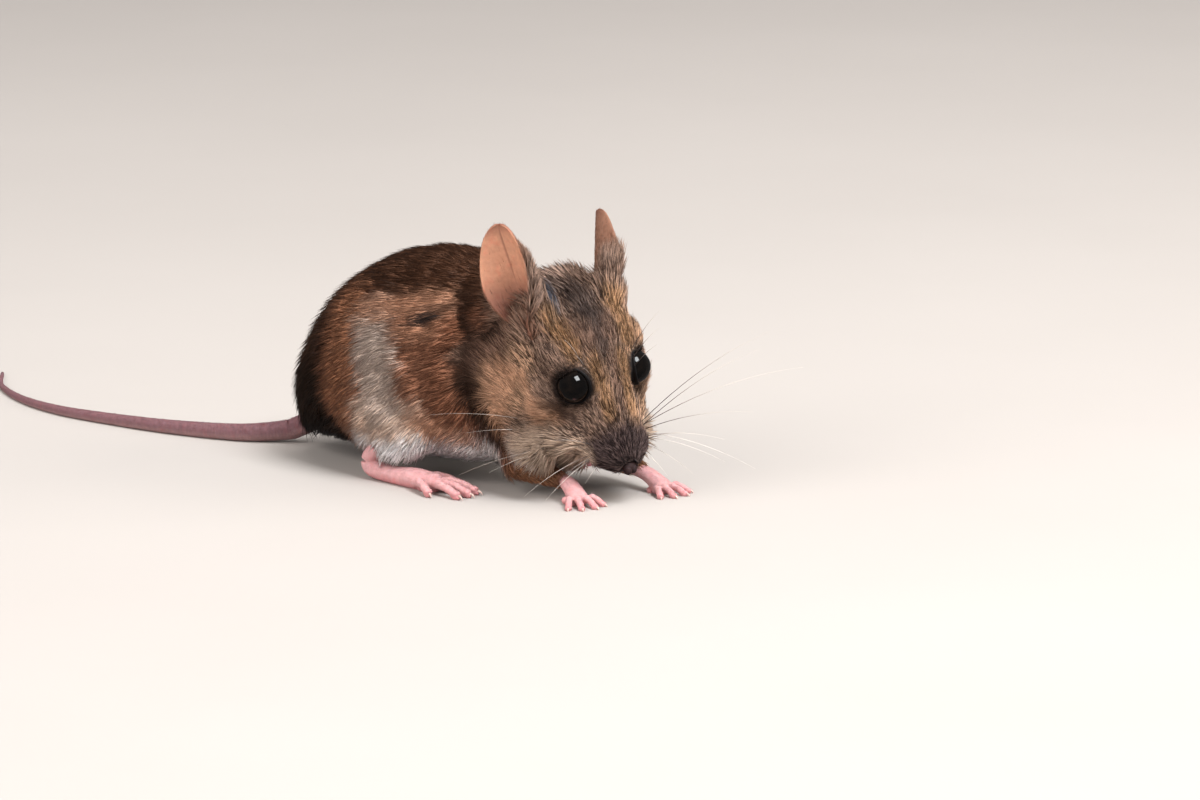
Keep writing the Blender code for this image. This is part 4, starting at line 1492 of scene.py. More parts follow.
class Markings:
    """Colours of the whole skin, worked out from place, slope and strokes."""

    def __init__(self, surface: Surface, owner: Array, bare: dict[str, Array]) -> None:
        """Takes the skin's arrays, the nearest solid of each point and the shares of its bare parts."""
        self.surface, self.bare = surface, bare
        kinds = KINDS[owner]
        self.on_head = surface.blurred(np.isin(kinds, ("head", "muzzle")).astype(float), 10)
        self.on_arm = surface.blurred((kinds == "forearm").astype(float), 6)
        self.colour = np.tile(np.array(RUST[:3]), (len(owner), 1))
        self.grizzle = np.full(len(owner), 0.55)

    def lay(self, share: Array, colour: Sequence[float], grizzle: float | None = None) -> None:
        """Lays a colour over what is there."""
        self.colour += (np.array(colour[:3]) - self.colour) * share[:, None]
        if grizzle is not None:
            self.grizzle += (grizzle - self.grizzle) * share

    def body(self) -> None:
        """Dark back and rump, rusty flanks, white belly and haunch."""
        places = self.surface.places
        x, _, z = BODY.local(places).T
        slope = self.surface.blurred(self.surface.normals, SLOPE_BLUR)[:, 2] + 0.1 * waves(places, 4.0, 2)
        edge = 0.8 * waves(places, 3.0, 7)
        self.lay(ease(14.0, 18.0, x) * 0.6, RUST_DARK, 0.6)
        self.lay(ease(0.22, 0.5, slope) * ease(12.0, 20.0, z) * 0.8, RUST_DARK, 0.6)
        self.lay(ease(0.42, 0.66, slope) * ease(16.0, 22.0, z), BACK_BROWN, 0.5)
        self.lay(ease(-3.5, -7.5, x + edge) * 0.8, RUST_DARK, 0.5)
        self.lay(ease(-2.0, -9.0, x + edge) * ease(15.0, 25.0, z), BACK_BROWN, 0.5)
        self.lay(ease(-4.8, -9.2, x + edge) * (0.3 + 0.7 * ease(28.0, 18.0, z + edge)), RUMP_DARK, 0.4)
        self.lay(ease(11.0, 8.4, z + edge) * ease(-5.0, -1.0, x) * ease(20.0, 13.0, x), BELLY_WHITE, 0.12)
        self.lay(ease(-0.25, -0.6, slope) * ease(14.0, 9.0, z) * ease(-6.0, 0.0, x), BELLY_WHITE, 0.15)
        self.lay(self.on_arm, ARM_BUFF, 0.35)

    def head(self) -> None:
        """Grizzled brown, with a dark muzzle and dark rings round the eyes."""
        places = self.surface.places
        head = HEAD.local(places)
        x, y, z = head.T
        cap = ease(-24.0, -20.5, x) * ease(-6.5, -3.0, z) * ease(11.0, 8.5, np.abs(y))
        self.on_head = np.maximum(self.on_head, cap)
        self.lay(self.on_head, HEAD_BROWN, 0.9)
        # every stroke is laid here, on flanks as on the face: among them painted sheen on the flanks and
        # crown, painted shade in the crease behind the shoulder, and painted light on the left of the head
        for stroke in STROKES:
            self.lay(stroke.share(places), stroke.colour, stroke.grizzle)
        low = ease(-6.6, -8.2, z + 0.5 * waves(places, 2.0, 9)) * self.on_head
        self.lay(low * ease(15.0, 13.0, x) * ease(1.5, 5.0, x), CREAM, 0.35)
        edge = x + 0.45 * waves(places, 1.6, 3)
        brink = -3.9 - 3.4 * ease(11.2, 13.8, x)
        reach = ease(7.2, 9.8, edge - 0.3 * np.maximum(y, 0.0)) * ease(-1.0, 0.7, z - brink)
        self.lay(reach * self.on_head, MUZZLE_DARK, 0.85)
        for side in SIDES:
            self.lay(ease(3.7, 3.0, from_eye(head, side)[1]), EYE_RING, 0.3)

    def naked(self, ears: Sequence[Ear]) -> Array:
        """Colours of ears, feet, tail, nose and lids.

        Args:
            ears: both ears, for the places on them.

        Returns:
            How bare each point of the skin is.
        """
        total = np.zeros(len(self.colour))
        low = BODY.local(self.surface.places)[:, 2]
        for name, share in self.bare.items():
            kind = kind_of(name)
            if kind == "ear":
                continue
            self.lay(share, BARE_COLOURS[kind], 0.1)
            total = np.maximum(total, share)
            if kind in ("hind_foot", "fore_paw"):
                self.lay(share * ease(1.6, 0.5, low) * 0.7, TOE_PINK, 0.1)
            elif kind == "tail":
                self.lay(share * ease(0.2, -0.6, self.surface.normals[:, 2]), TAIL_PALE, 0.1)
        for ear in ears:
            share = self.bare["ear_" + SIDES[ear.side]]
            height, inside, brim = ear.reading(self.surface)
            self.lay(share, EAR_BACK, 0.2)
            self.lay(share * brim * ease(0.9, 0.5, height), HEAD_BROWN, 0.7)
            self.lay(share * inside, EAR_INSIDE, 0.1)
            # painted shade deep in the cup towards the root, over darker skin and fuzz
            self.lay(share * inside * ease(0.62, 0.2, height) * 0.8, EAR_DARK_AND_CUP_SHADE, 0.3)
            # darker rim at the ear's tip
            self.lay(share * ease(0.86, 1.0, height) * 0.6, EAR_DARK_AND_CUP_SHADE, 0.1)
            total = np.maximum(total, share * ease(0.0, 0.16, height + inside * 0.2))
        return total


# ---- Lie of the coat ----
class Region(Enum):
    """The pieces of the coat, each kept light enough to be one object."""

    NONE = 0
    MUZZLE = 1
    FACE_RIGHT = 2
    FACE_LEFT = 3
    CROWN = 4
    NAPE = 5
    BACK = 6
    FLANK_RIGHT = 7
    FLANK_LEFT = 8
    RUMP = 9
    BELLY = 10
    LIMBS = 11
    EARS = 12
    FEET = 13


@dataclass(frozen=True)
class CoatPiece:
    """How one piece of the coat grows."""

    region: Region
    tufts: int
    thickness: float  # half width of a tuft as a share of its length
    slot: Slot
    bend: float = 0.16
    ruffle: float = 0.16  # how far single tufts leave the common lie


COAT = (
    CoatPiece(Region.MUZZLE, 10500, 0.045, Slot.FUR_DARK, ruffle=0.22),
    CoatPiece(Region.FACE_RIGHT, 17500, 0.032, Slot.FUR_BROWN, ruffle=0.22),
    CoatPiece(Region.FACE_LEFT, 13500, 0.033, Slot.FUR_BROWN, ruffle=0.22),
    CoatPiece(Region.CROWN, 14500, 0.027, Slot.FUR_BROWN, ruffle=0.27),
    CoatPiece(Region.NAPE, 14500, 0.021, Slot.FUR_BROWN),
    CoatPiece(Region.BACK, 17500, 0.02, Slot.FUR_BROWN),
    CoatPiece(Region.FLANK_RIGHT, 17500, 0.02, Slot.FUR_RUST),
    CoatPiece(Region.FLANK_LEFT, 12500, 0.022, Slot.FUR_RUST),
    CoatPiece(Region.RUMP, 13500, 0.021, Slot.FUR_DARK),
    CoatPiece(Region.BELLY, 5000, 0.028, Slot.FUR_BROWN),
    CoatPiece(Region.LIMBS, 5500, 0.03, Slot.FUR_RUST),
    CoatPiece(Region.EARS, 6000, 0.028, Slot.EAR_SKIN),
    CoatPiece(Region.FEET, 2500, 0.03, Slot.SKIN_PINK, ruffle=0.3),
)


# Length and depth of the coat where it is longer than its pelt says, and what adds to it
CROWN, EAR_CUFF, FRINGE = (3.7, 1.35), (4.6, 2.7), (4.4, 3.0)
THROAT_MORE, SEAT_MORE, POUCH_MORE = (1.2, 1.6), (1.0, 1.1), (0.5, 0.9)
HAIR_SOURCE = (17.0, 0.0, -3.0)  # the head's hairs stream away from here, ahead of the nose
POUCH_AT = (3.6, 6.4, -2.6)
ON_PART = 0.4  # share from which a point counts as part of an ear, foot or tail
TOE_START, FINGER_START = 11.0, 3.2  # where the rings begin, from heel or wrist
BARE_HAIR, TAIL_HAIR = 0.75, 0.7


class Dress:
    """Works out everything that the skin carries from point to point."""

    def __init__(self, skin: Object, plan: Skin, ears: Sequence[Ear], feet: Sequence[Foot],
                 tail: Tail) -> None:
        """Reads the finished skin.

        Args:
            skin: the skin, in millimetres and unwrapped.
            plan: its plan, which knows the shapes of the bare parts.
            ears: both ears.
            feet: the feet.
            tail: the tail.
        """
        self.skin, self.ears, self.feet, self.tail = skin, ears, feet, tail
        self.surface = Surface(skin.data)
        self.owner = nodes_near(self.surface.places)
        self.kinds = KINDS[self.owner]
        self.pelts = [PELTS[kind] for kind in KINDS]
        self.bare = {name: self.touching(tree) for name, tree in plan.parts.items()}

    def touching(self, tree: BVHTree) -> Array:
        """1 for each point of the skin that lies on a part, softened over its edge.

        Args:
            tree: the part's shape.

        Returns:
            Shares from 0 to 1.
        """
        far, margin, reach = 999.0, 2.0, 0.05
        places = self.surface.places
        corners = np.array([tree.find_nearest(Vector(way * axis))[0] for axis in np.eye(3)
                            for way in (-far, far)])
        low, high = corners.min(axis=0) - margin, corners.max(axis=0) + margin
        share = np.zeros(len(places))
        for i in np.nonzero(((places > low) & (places < high)).all(axis=1))[0]:
            share[i] = tree.find_nearest(Vector(places[i]), reach)[0] is not None
        return self.surface.blurred(share, 2)

    def region(self, places: Array, head: Array) -> Array:
        """Which piece of the coat grows at each point.

        Args:
            places: the skin's points.
            head: the same in the head's axes.

        Returns:
            Numbers of regions.
        """
        kinds, (x, y, z), body = self.kinds, head.T, BODY.local(places)
        slope = self.surface.blurred(self.surface.normals, SLOPE_BLUR)[:, 2]
        found = np.where(body[:, 1] < 0, Region.FLANK_RIGHT.value, Region.FLANK_LEFT.value)
        crown = np.isin(kinds, ("head", "neck")) & (z > np.where(x < -12.0, -4.0, 1.5))
        for region, chosen in ((Region.BACK, slope > 0.55),
                               (Region.BELLY, (slope < -0.35) & (body[:, 2] < 12)),
                               (Region.RUMP, (body[:, 0] < -6.5) & (body[:, 2] > 3)),
                               (Region.NAPE, kinds == "neck"),
                               (Region.LIMBS, np.isin(kinds, LIMBS)),
                               (Region.FACE_RIGHT, (kinds == "head") & (y <= 0)),
                               (Region.FACE_LEFT, (kinds == "head") & (y > 0)),
                               (Region.CROWN, crown & (x < 2.0) & (x > -24.0) & (np.abs(y) < 10.0)),
                               (Region.MUZZLE, kinds == "muzzle")):
            found[chosen] = region.value
        for name, share in self.bare.items():
            if name.startswith("ear"):
                found[share > 0.5] = Region.EARS.value
            elif name.startswith(("lids", "nose")):
                found[share > 0.2] = Region.NONE.value
            else:
                found[share > 0.5] = Region.FEET.value
        return found

    def lie(self, places: Array, head: Array) -> Array:
        """The way the tufts lie along the skin at each point.

        Args:
            places: the skin's points.
            head: the same in the head's axes.

        Returns:
            Directions, each one long.
        """
        body = np.array([p.lie or (0, 0, 0) for p in self.pelts])
        flow = BODY.turned(body[self.owner])
        away = head - np.array(HAIR_SOURCE)
        for side in SIDES:
            past, gap = from_eye(head, side)
            radial = past / gap[:, None]
            inward = np.minimum((unit(away) * radial).sum(axis=1), 0.0)
            away = unit(away) - radial * (inward * ease(7.0, 3.5, gap) * 1.15)[:, None]
        from_source = HEAD.turned(unit(away))
        on_head = np.array([p.lie is None for p in self.pelts])[self.owner]
        flow[on_head] = from_source[on_head]
        for ear in self.ears:
            chosen = self.bare["ear_" + SIDES[ear.side]] > ON_PART
            brim = ear.reading(self.surface)[2][chosen][:, None]
            upward, outward = (np.array(ear.axes().heading(*way)) for way in ((0, 0, 1), (0, -ear.side, 0)))
            flow[chosen] = upward + outward * brim
        for foot in self.feet:
            flow[self.bare[foot.name] > ON_PART] = np.array(foot.pose.to_3x3() @ Vector((1, 0, -0.2)))
        line = self.tail.centre_line()[0]
        tree = tree_of(line)
        for i in np.nonzero(self.bare["tail"] > ON_PART)[0]:
            k = min(tree.find(places[i])[1], len(line) - 2)
            flow[i] = np.array((line[k + 1] - line[k]).normalized())
        normals = self.surface.normals
        tangent = unit(flow) - normals * (unit(flow) * normals).sum(axis=1, keepdims=True)
        smooth = self.surface.blurred(unit(tangent + 1e-4), 10)
        smooth -= normals * (smooth * normals).sum(axis=1, keepdims=True)
        return unit(smooth)

    def measures(self, head: Array) -> tuple[Array, Array, Array]:
        """Length, lift and fullness of the tufts at each point.

        Args:
            head: the points in the head's axes.

        Returns:
            Three numbers for each point.
        """
        surface = self.surface
        x, y, z = head.T
        body_x, _, body_z = BODY.local(surface.places).T
        coat = np.array([(p.length, p.depth) for p in self.pelts])[self.owner].T
        crown = ease(-6.0, -13.0, x) * ease(-7.0, -2.5, z) * ease(-25.0, -20.0, x)
        coat = np.maximum(coat, np.outer(CROWN, crown * ease(12.0, 9.0, np.abs(y))))
        for ear in self.ears:
            gap = np.linalg.norm(head - np.array(ear.roots[ear.side]), axis=1)
            coat = np.maximum(coat, np.outer(EAR_CUFF, ease(6.5, 3.5, gap)))
        fringe = ease(-0.2, -0.6, surface.blurred(surface.normals, 8)[:, 2]) * ease(19.0, 24.0, body_x)
        fringe *= (1.0 - ease(-6.0, -3.5, z) * ease(2.0, 6.0, x)) * ease(11.0, 8.5, x)
        fringe *= ~np.isin(self.kinds, LIMBS)
        throat = fringe * ease(28.0, 32.0, body_x)
        coat = np.maximum(coat, np.outer(FRINGE, fringe) + np.outer(THROAT_MORE, throat))
        seat = ease(-1.0, -8.0, body_x) * ease(9.0, 19.0, body_z) * ease(34.0, 28.0, body_z)
        pouch = ease(4.6, 2.0, np.linalg.norm(head - np.array(POUCH_AT), axis=1))
        coat += np.outer(SEAT_MORE, seat)
        coat += np.outer(POUCH_MORE, pouch)
        length, depth = surface.blurred(coat.T, COAT_BLUR).T
        full = np.ones(len(length))
        for side in SIDES:
            away = from_eye(head, side)[1]
            length *= 0.32 + 0.68 * ease(3.0, 6.0, away)
            depth *= 0.3 + 0.7 * ease(3.0, 6.0, away)
            full *= ease(2.7, 3.0, away)
        lift = np.arcsin(np.clip(depth / length, 0.05, 0.8)) * 0.95
        for ear in self.ears:
            share = self.bare["ear_" + SIDES[ear.side]]
            height, inside, brim = ear.reading(surface)
            height = np.clip(height, 0.0, 1.0)
            down = 1.7 - 1.05 * height
            furry = ease(0.75, 0.15, height) * 0.75 + 0.25
            hidden = inside * ease(0.28, 0.1, height) * 0.35 + inside * 0.01
            on = share > ON_PART
            length[on] = (down + brim * (3.0 - 2.4 * height))[on]
            lift[on] = (0.2 + 0.3 * brim)[on]
            full[on] = np.where(inside > 0.5, hidden, np.maximum(furry, 1.6 * brim))[on]
        for name in [f.name for f in self.feet] + ["tail"]:
            on = self.bare[name] > ON_PART
            length[on] = TAIL_HAIR if name == "tail" else BARE_HAIR
            lift[on] = 0.3
            full[on] = ease(-0.2, 0.3, surface.normals[:, 2])[on]
        for name in ("nose", "lids_right", "lids_left"):
            full *= 1.0 - np.clip(self.bare[name] * 3.0, 0.0, 1.0)
        full *= ease(0.05, 0.5, surface.places[:, 2])
        return length, lift, full

    def ridges(self) -> Array:
        """Running distance along toes and tail, for their rings.

        Returns:
            Millimetres, a number for each point and 0 elsewhere.
        """
        ridge = np.zeros(len(self.owner))
        for foot in self.feet:
            local = Axes(foot.pose).local(self.surface.places)
            share = self.bare[foot.name]
            start = TOE_START if foot.name.startswith("hind") else FINGER_START
            ridge = np.where(share > 0.5, np.clip(local[:, 0] - start, 0.0, None), ridge)
        line = self.tail.centre_line()[0]
        gone_by, run = [0.0], 0.0
        for a, b in zip(line, line[1:]):
            run += (b - a).length
            gone_by.append(run)
        tree = tree_of(line)
        for i in np.nonzero(self.bare["tail"] > ON_PART)[0]:
            at = Vector(self.surface.places[i])
            k = tree.find(at)[1]
            ridge[i] = 1.0 + gone_by[k] + (at - line[k]).dot(ahead_at(line, k))
        return ridge

    def store(self, name: Field, values: Array) -> None:
        """Writes a number, vector or colour onto each point of the skin."""
        kind, key = {1: ("FLOAT", "value"), 3: ("FLOAT_VECTOR", "vector"),
                     4: ("FLOAT_COLOR", "color")}[values.size // len(values)]
        made = self.skin.data.attributes.new(name.value, kind, "POINT")
        made.data.foreach_set(key, values.astype(np.float32).ravel())

    def put_on(self) -> dict[Region, float]:
        """Works all of it out and writes it on.

        Returns:
            How much skin each piece of the coat has to cover.
        """
        surface = self.surface
        head = HEAD.local(surface.places)
        marks = Markings(surface, self.owner, self.bare)
        marks.body()
        marks.head()
        bare = marks.naked(self.ears)
        length, lift, full = self.measures(head)
        for name, values in {
                Field.MARKING: np.concatenate([marks.colour, np.ones((len(bare), 1))], axis=1),
                Field.GRIZZLE: marks.grizzle, Field.BARE: bare, Field.PLACE: surface.places,
                Field.RIDGE: self.ridges(), Field.FLOW: self.lie(surface.places, head),
                Field.STAND: unit(surface.blurred(surface.normals, 2)), Field.LENGTH: length,
                Field.LIFT: lift, Field.FULLNESS: full}.items():
            self.store(name, values)
        mesh = self.skin.data
        firsts = read_all(mesh.polygons, "loop_start", np.int32)
        of_face = read_all(mesh.loops, "vertex_index", np.int32)[firsts]
        region = self.region(surface.places, head)[of_face]
        made = mesh.attributes.new(Field.REGION.value, "INT", "FACE")
        made.data.foreach_set("value", region.astype(np.int32))
        areas = read_all(mesh.polygons, "area", np.float32)
        return {r: float((areas * full[of_face])[region == r.value].sum()) for r in Region}


# ---- Coat ----
PATCH_ACROSS = 0.003  # a tuft's patch on the coat's unwrap
ROOT_SUNK = 0.05  # share of a tuft's length below the skin
TAPER, FLATNESS = 1.2, 0.6  # how a tuft widens before its tip, and its thickness as a share of its width
LOCK_SWAY, LOCK_LIFT = 1.3, 1.2  # how far locks leave the common lie, sideways and upwards
RUFFLE_LIFT, LEAST_LIFT = 0.55, 0.06
SHORTEST, LONGEST = 0.7, 1.15  # tufts, as a share of the length at their place
SEED_STEP = 17


def coat_group() -> NodeTree:
    """Grows tufts on the skin along its flow.

    Returns:
        A geometry tree from the skin to plain tufts, with density, region and shape as inputs.
    """
    g, given = new_group("coat", "Geometry", {"Skin": "Geometry", "Density": "Float", "Region": "Int",
                                              "Thickness": "Float", "Bend": "Float", "Ruffle": "Float",
                                              "Seed": "Int", "Finish": "Material"}, "Coat", "Geometry")

    def read(name: str, kind: str) -> NodeSocket:
        """An attribute by its name."""
        node = g.add("GeometryNodeInputNamedAttribute", {"Name": name}, data_type=kind)
        return g.socket(node.outputs, "Attribute")

    def named(name: Field, kind: str = "FLOAT") -> NodeSocket:
        """What the skin carries under a name."""
        return read(name.value, kind)

    def drawn(low: float, high: float, offset: int) -> NodeSocket:
        """A random number for each tuft."""
        seed = g.math("ADD", given["Seed"], offset)
        node = g.add("FunctionNodeRandomValue", {"Min": low, "Max": high, "Seed": seed}, data_type="FLOAT")
        return g.socket(node.outputs, "Value")

    def kept(geometry: NodeSocket, name: str, kind: str, domain: str,
             value: object) -> NodeSocket:
        """The geometry, carrying a value under a name."""
        node = g.add("GeometryNodeStoreNamedAttribute", {"Geometry": geometry, "Name": name},
                     data_type=kind, domain=domain)
        g.feed(g.socket(node.inputs, "Value"), value)
        return node.outputs["Geometry"]

    # Where they grow
    chosen = g.add("FunctionNodeCompare", data_type="INT", operation="EQUAL")
    g.feed(g.socket(chosen.inputs, "A"), named(Field.REGION, "INT"))
    g.feed(g.socket(chosen.inputs, "B"), given["Region"])
    thinned = g.times(given["Density"], named(Field.FULLNESS))
    sown = g.add("GeometryNodeDistributePointsOnFaces",
                 {"Mesh": given["Skin"], "Selection": chosen.outputs[0], "Seed": given["Seed"]})
    g.feed(g.socket(sown.inputs, "Density"), thinned)

    # Which way they point
    stand, flow = named(Field.STAND, "FLOAT_VECTOR"), named(Field.FLOW, "FLOAT_VECTOR")
    side = g.vector("CROSS_PRODUCT", stand, flow)
    place = named(Field.PLACE, "FLOAT_VECTOR")
    lock = g.math("SUBTRACT", g.noise(place, 0.85, 1.0), 0.5)
    lock_lift = g.math("SUBTRACT", g.noise(g.vector("ADD", place, (7.0, 3.0, 5.0)), 0.7, 1.0), 0.5)
    sway = g.math("MULTIPLY_ADD", lock, LOCK_SWAY, g.times(drawn(-1.0, 1.0, 11), given["Ruffle"]))
    lift = g.math("MULTIPLY_ADD", drawn(-1.0, 1.0, 12), g.times(given["Ruffle"], RUFFLE_LIFT),
                  g.times(named(Field.LIFT), g.math("MULTIPLY_ADD", lock_lift, LOCK_LIFT, 1.0)))
    lift = g.math("MAXIMUM", lift, LEAST_LIFT)
    ahead = g.vector("NORMALIZE", g.vector("ADD", flow, g.vector("SCALE", side, scale=sway)))
    heading = g.vector("ADD", g.vector("SCALE", ahead, scale=g.math("COSINE", lift)),
                       g.vector("SCALE", stand, scale=g.math("SINE", lift)))
    turn = g.add("FunctionNodeAxesToRotation", {"Primary Axis": heading, "Secondary Axis": stand},
                 primary_axis="Z", secondary_axis="X")

    # One tuft
    cone = g.add("GeometryNodeMeshCone", {"Vertices": 3, "Side Segments": 2, "Radius Top": 0.0,
                                          "Radius Bottom": 1.0, "Depth": 1.0}, fill_type="NGON")
    shaped = kept(cone.outputs["Mesh"], "patch", "FLOAT2", "CORNER", cone.outputs["UV Map"])
    apart = g.add("ShaderNodeSeparateXYZ", {"Vector": g.add("GeometryNodeInputPosition").outputs[0]})
    x, y, z = apart.outputs
    wide = g.times(given["Thickness"], g.math("MULTIPLY_ADD", z, TAPER, 1.0))
    bent = g.times(g.times(z, z), given["Bend"])
    flat = g.math("SUBTRACT", g.times(g.times(x, wide), FLATNESS), bent)
    spot = g.add("ShaderNodeCombineXYZ", {"X": flat, "Y": g.times(y, wide),
                                          "Z": g.math("SUBTRACT", z, ROOT_SUNK)})
    shaped = g.add("GeometryNodeSetPosition", {"Geometry": shaped, "Position": spot.outputs[0]}).outputs[0]
    shaped = kept(shaped, Field.ALONG.value, "FLOAT", "POINT", g.math("ADD", z, ROOT_SUNK))

    # All of them
    points = kept(sown.outputs["Points"], Field.TONE.value, "FLOAT", "POINT", drawn(0.0, 1.0, 13))
    size = g.times(named(Field.LENGTH), drawn(SHORTEST, LONGEST, 14))
    placed = g.add("GeometryNodeInstanceOnPoints", {"Points": points, "Instance": shaped,
                                                    "Rotation": turn.outputs[0], "Scale": size})
    real = g.add("GeometryNodeRealizeInstances", {"Geometry": placed.outputs[0]}).outputs[0]
    root, own = read(BAKE_MAP, "FLOAT_VECTOR"), read("patch", "FLOAT_VECTOR")
    inset = g.vector("SUBTRACT", own, (0.5, 0.5, 0.0))
    laid = g.vector("ADD", root, g.vector("SCALE", inset, scale=PATCH_ACROSS))
    real = kept(real, BAKE_MAP, "FLOAT2", "CORNER", laid)
    spent = (Field.FLOW, Field.STAND, Field.LENGTH, Field.LIFT, Field.FULLNESS, Field.REGION, Field.RIDGE,
             Field.BARE)
    for name in ("patch", *(f.value for f in spent)):
        real = g.add("GeometryNodeRemoveAttribute", {"Geometry": real, "Name": name}).outputs[0]
    dressed = g.add("GeometryNodeSetMaterial", {"Geometry": real, "Material": given["Finish"]})
    g.give("Coat", dressed.outputs[0])
    return g.tree


def grown(tree: NodeTree, skin: Object, piece: CoatPiece, area: float,
          finish: Material) -> Object:
    """Grows one piece of the coat.

    Args:
        tree: the coat's geometry tree.
        skin: the dressed skin, in millimetres.
        piece: what to grow.
        area: how much skin it has to cover.
        finish: the material of the tufts.

    Returns:
        The tufts as plain mesh.
    """
    made = linked("coat_" + piece.region.name.lower(), skin.data.copy())
    step = made.modifiers.new("grow", "NODES")
    step.node_group = tree
    tufts, number = piece.tufts * 1.0, piece.region.value
    wanted = {"Density": tufts / max(area, 1.0), "Region": number, "Thickness": piece.thickness,
              "Bend": piece.bend, "Ruffle": piece.ruffle, "Seed": number * SEED_STEP, "Finish": finish}
    for item in tree.interface.items_tree:
        if item.item_type == "SOCKET" and item.in_out == "INPUT" and item.name in wanted:
            step[item.identifier] = wanted[item.name]
    return applied(made)


# ---- Whiskers ----
WHISKERS = {  # root in the head's axes, then how far the tip is from it along the row's axes
    RIGHT: (((8.2, -4.4, -3.6), (-23.2, -12.2, 2.7)), ((8.6, -4.4, -4.0), (-18.0, -9.7, 0.6)),
            ((9.0, -4.4, -4.8), (-17.2, -11.9, -5.0)), ((10.2, -4.2, -4.7), (-7.7, -8.3, -6.7)),
            ((10.6, -4.0, -5.0), (-5.3, -6.4, -7.0)), ((11.6, -3.5, -5.3), (-1.2, -2.6, -3.4)),
            ((9.4, -4.4, -3.6), (-5.4, -4.6, 0.9)), ((9.2, -4.4, -4.3), (-10.6, -7.4, -1.9)),
            ((10.8, -4.0, -4.2), (-2.6, -4.6, -2.4)), ((8.4, -4.3, -5.6), (-12.4, -9.4, -4.6))),
    LEFT: (((8.2, 4.4, -3.4), (13.6, 15.4, 14.1)), ((8.6, 4.4, -3.8), (18.5, 18.1, 9.2)),
           ((8.8, 4.4, -3.4), (12.5, 13.8, 11.9)), ((9.2, 4.4, -4.0), (13.2, 11.9, 2.9)),
           ((10.2, 4.1, -3.8), (10.0, 8.3, -0.4)), ((9.0, 4.4, -4.8), (15.0, 11.0, -5.7)),
           ((9.8, 4.2, -4.8), (11.0, 8.1, -3.9)), ((10.6, 4.0, -4.8), (7.2, 4.6, -5.0)),
           ((11.4, 3.6, -5.0), (4.1, 2.1, -4.4)), ((10.8, 4.0, -4.2), (5.4, 4.4, 1.4))),
}


@dataclass
class Whiskers:
    """Long stiff hairs from the two pads beside the nose, and a few over the eyes."""

    side: int
    radius: float = 0.065
    tip: float = 0.012
    bow: float = 0.06  # height of their arch as a share of their length
    steps: int = 12
    sides: int = 5
    brow: int = 3  # hairs over each eye
    clear: float = 0.1  # how far they keep off the floor
    seed: int = 31

    def one(self, root: Vector, reach: Vector, tone: float) -> tuple:
        """One whisker.

        Args:
            root: where it grows.
            reach: from there to its tip.
            tone: its own number, dark to pale.

        Returns:
            Centres, radii and tone.
        """
        arch = Vector((0, 0, 4 * self.bow * reach.length))
        shares = [i / self.steps for i in range(self.steps + 1)]
        line = [root + reach * t + arch * t * (1 - t) for t in shares]
        radii = [max(self.radius * (1 - t) ** 0.8, self.tip) for t in shares]
        return line, radii, tone

    def hairs(self) -> list[tuple]:
        """Every whisker of this side."""
        draw = np.random.default_rng(self.seed + self.side)
        made = [self.one(HEAD.point(*root), Vector(reach), draw.uniform(0, 1))
                for root, reach in WHISKERS[self.side]]
        for k in range(self.brow):
            root = HEAD.point(0.6 - 1.3 * k, self.side * (4.0 + 0.3 * k), 3.3)
            heading = HEAD.heading(-0.25 - 0.1 * k, self.side * 0.6, 0.75)
            made.append(self.one(root, heading * (5.0 + 1.5 * k), draw.uniform(0, 0.4)))
        return made

    def build(self, finish: Material) -> Object:
        """All of them as one object.

        Args:
            finish: their material.

        Returns:
            The whiskers, in millimetres.
        """
        places, faces, run, tones = [], [], [], []
        for line, radii, tone in self.hairs():
            first = len(places)
            for i, (at, radius) in enumerate(zip(line, radii)):
                ahead = ahead_at(line, i)
                side = (ahead.orthogonal() if i == 0 else side - side.dot(ahead) * ahead).normalized()
                top = ahead.cross(side)
                for a in (tau * k / self.sides for k in range(self.sides)):
                    point = at + radius * (cos(a) * side + sin(a) * top)
                    point.z = max(point.z, self.clear)
                    places.append(point)
                    run.append(i / (len(line) - 1))
                    tones.append(tone)
            for i in range(len(line) - 1):
                for k in range(self.sides):
                    j = (k + 1) % self.sides
                    a, b = first + i * self.sides, first + (i + 1) * self.sides
                    faces.append((a + k, a + j, b + j, b + k))
            last = first + (len(line) - 1) * self.sides
            faces.append(tuple(last + k for k in range(self.sides)))
            faces.append(tuple(first + k for k in reversed(range(self.sides))))
        mesh = bpy.data.meshes.new("whiskers")
        mesh.from_pydata(places, [], faces)
        for name, values in ((Field.ALONG, run), (Field.TONE, tones)):
            mesh.attributes.new(name.value, "FLOAT", "POINT").data.foreach_set("value", values)
        mesh.materials.append(finish)
        return linked("whiskers_" + SIDES[self.side], mesh)


# ---- Studio ----
VIEW_RIGHT = Vector((0.766, 0.643, 0))  # rightwards, upwards and back, as the camera sees it
VIEW_UP = Vector((-0.1336, 0.1593, 0.978))
VIEW_BACK = Vector((0.6288, -0.7493, 0.2079))
AIM_RIGHT, AIM_UP = 36.48, 12.48  # what the camera looks at, from the right heel
WORLD_COLOUR = (0.98, 0.98, 1.0, 1)
WORLD_STRENGTH, WORLD_DIMMED = 0.34, 0.2  # in general, and how much less of it the gloss mirrors


@dataclass(frozen=True)
class Lamp:
    """An area lamp that faces the animal."""

    name: str
    offset: Vector  # from the right eye, in metres
    size: tuple
    power: float
    colour: tuple
    mirrored: bool = False  # whether it shows in the eyes


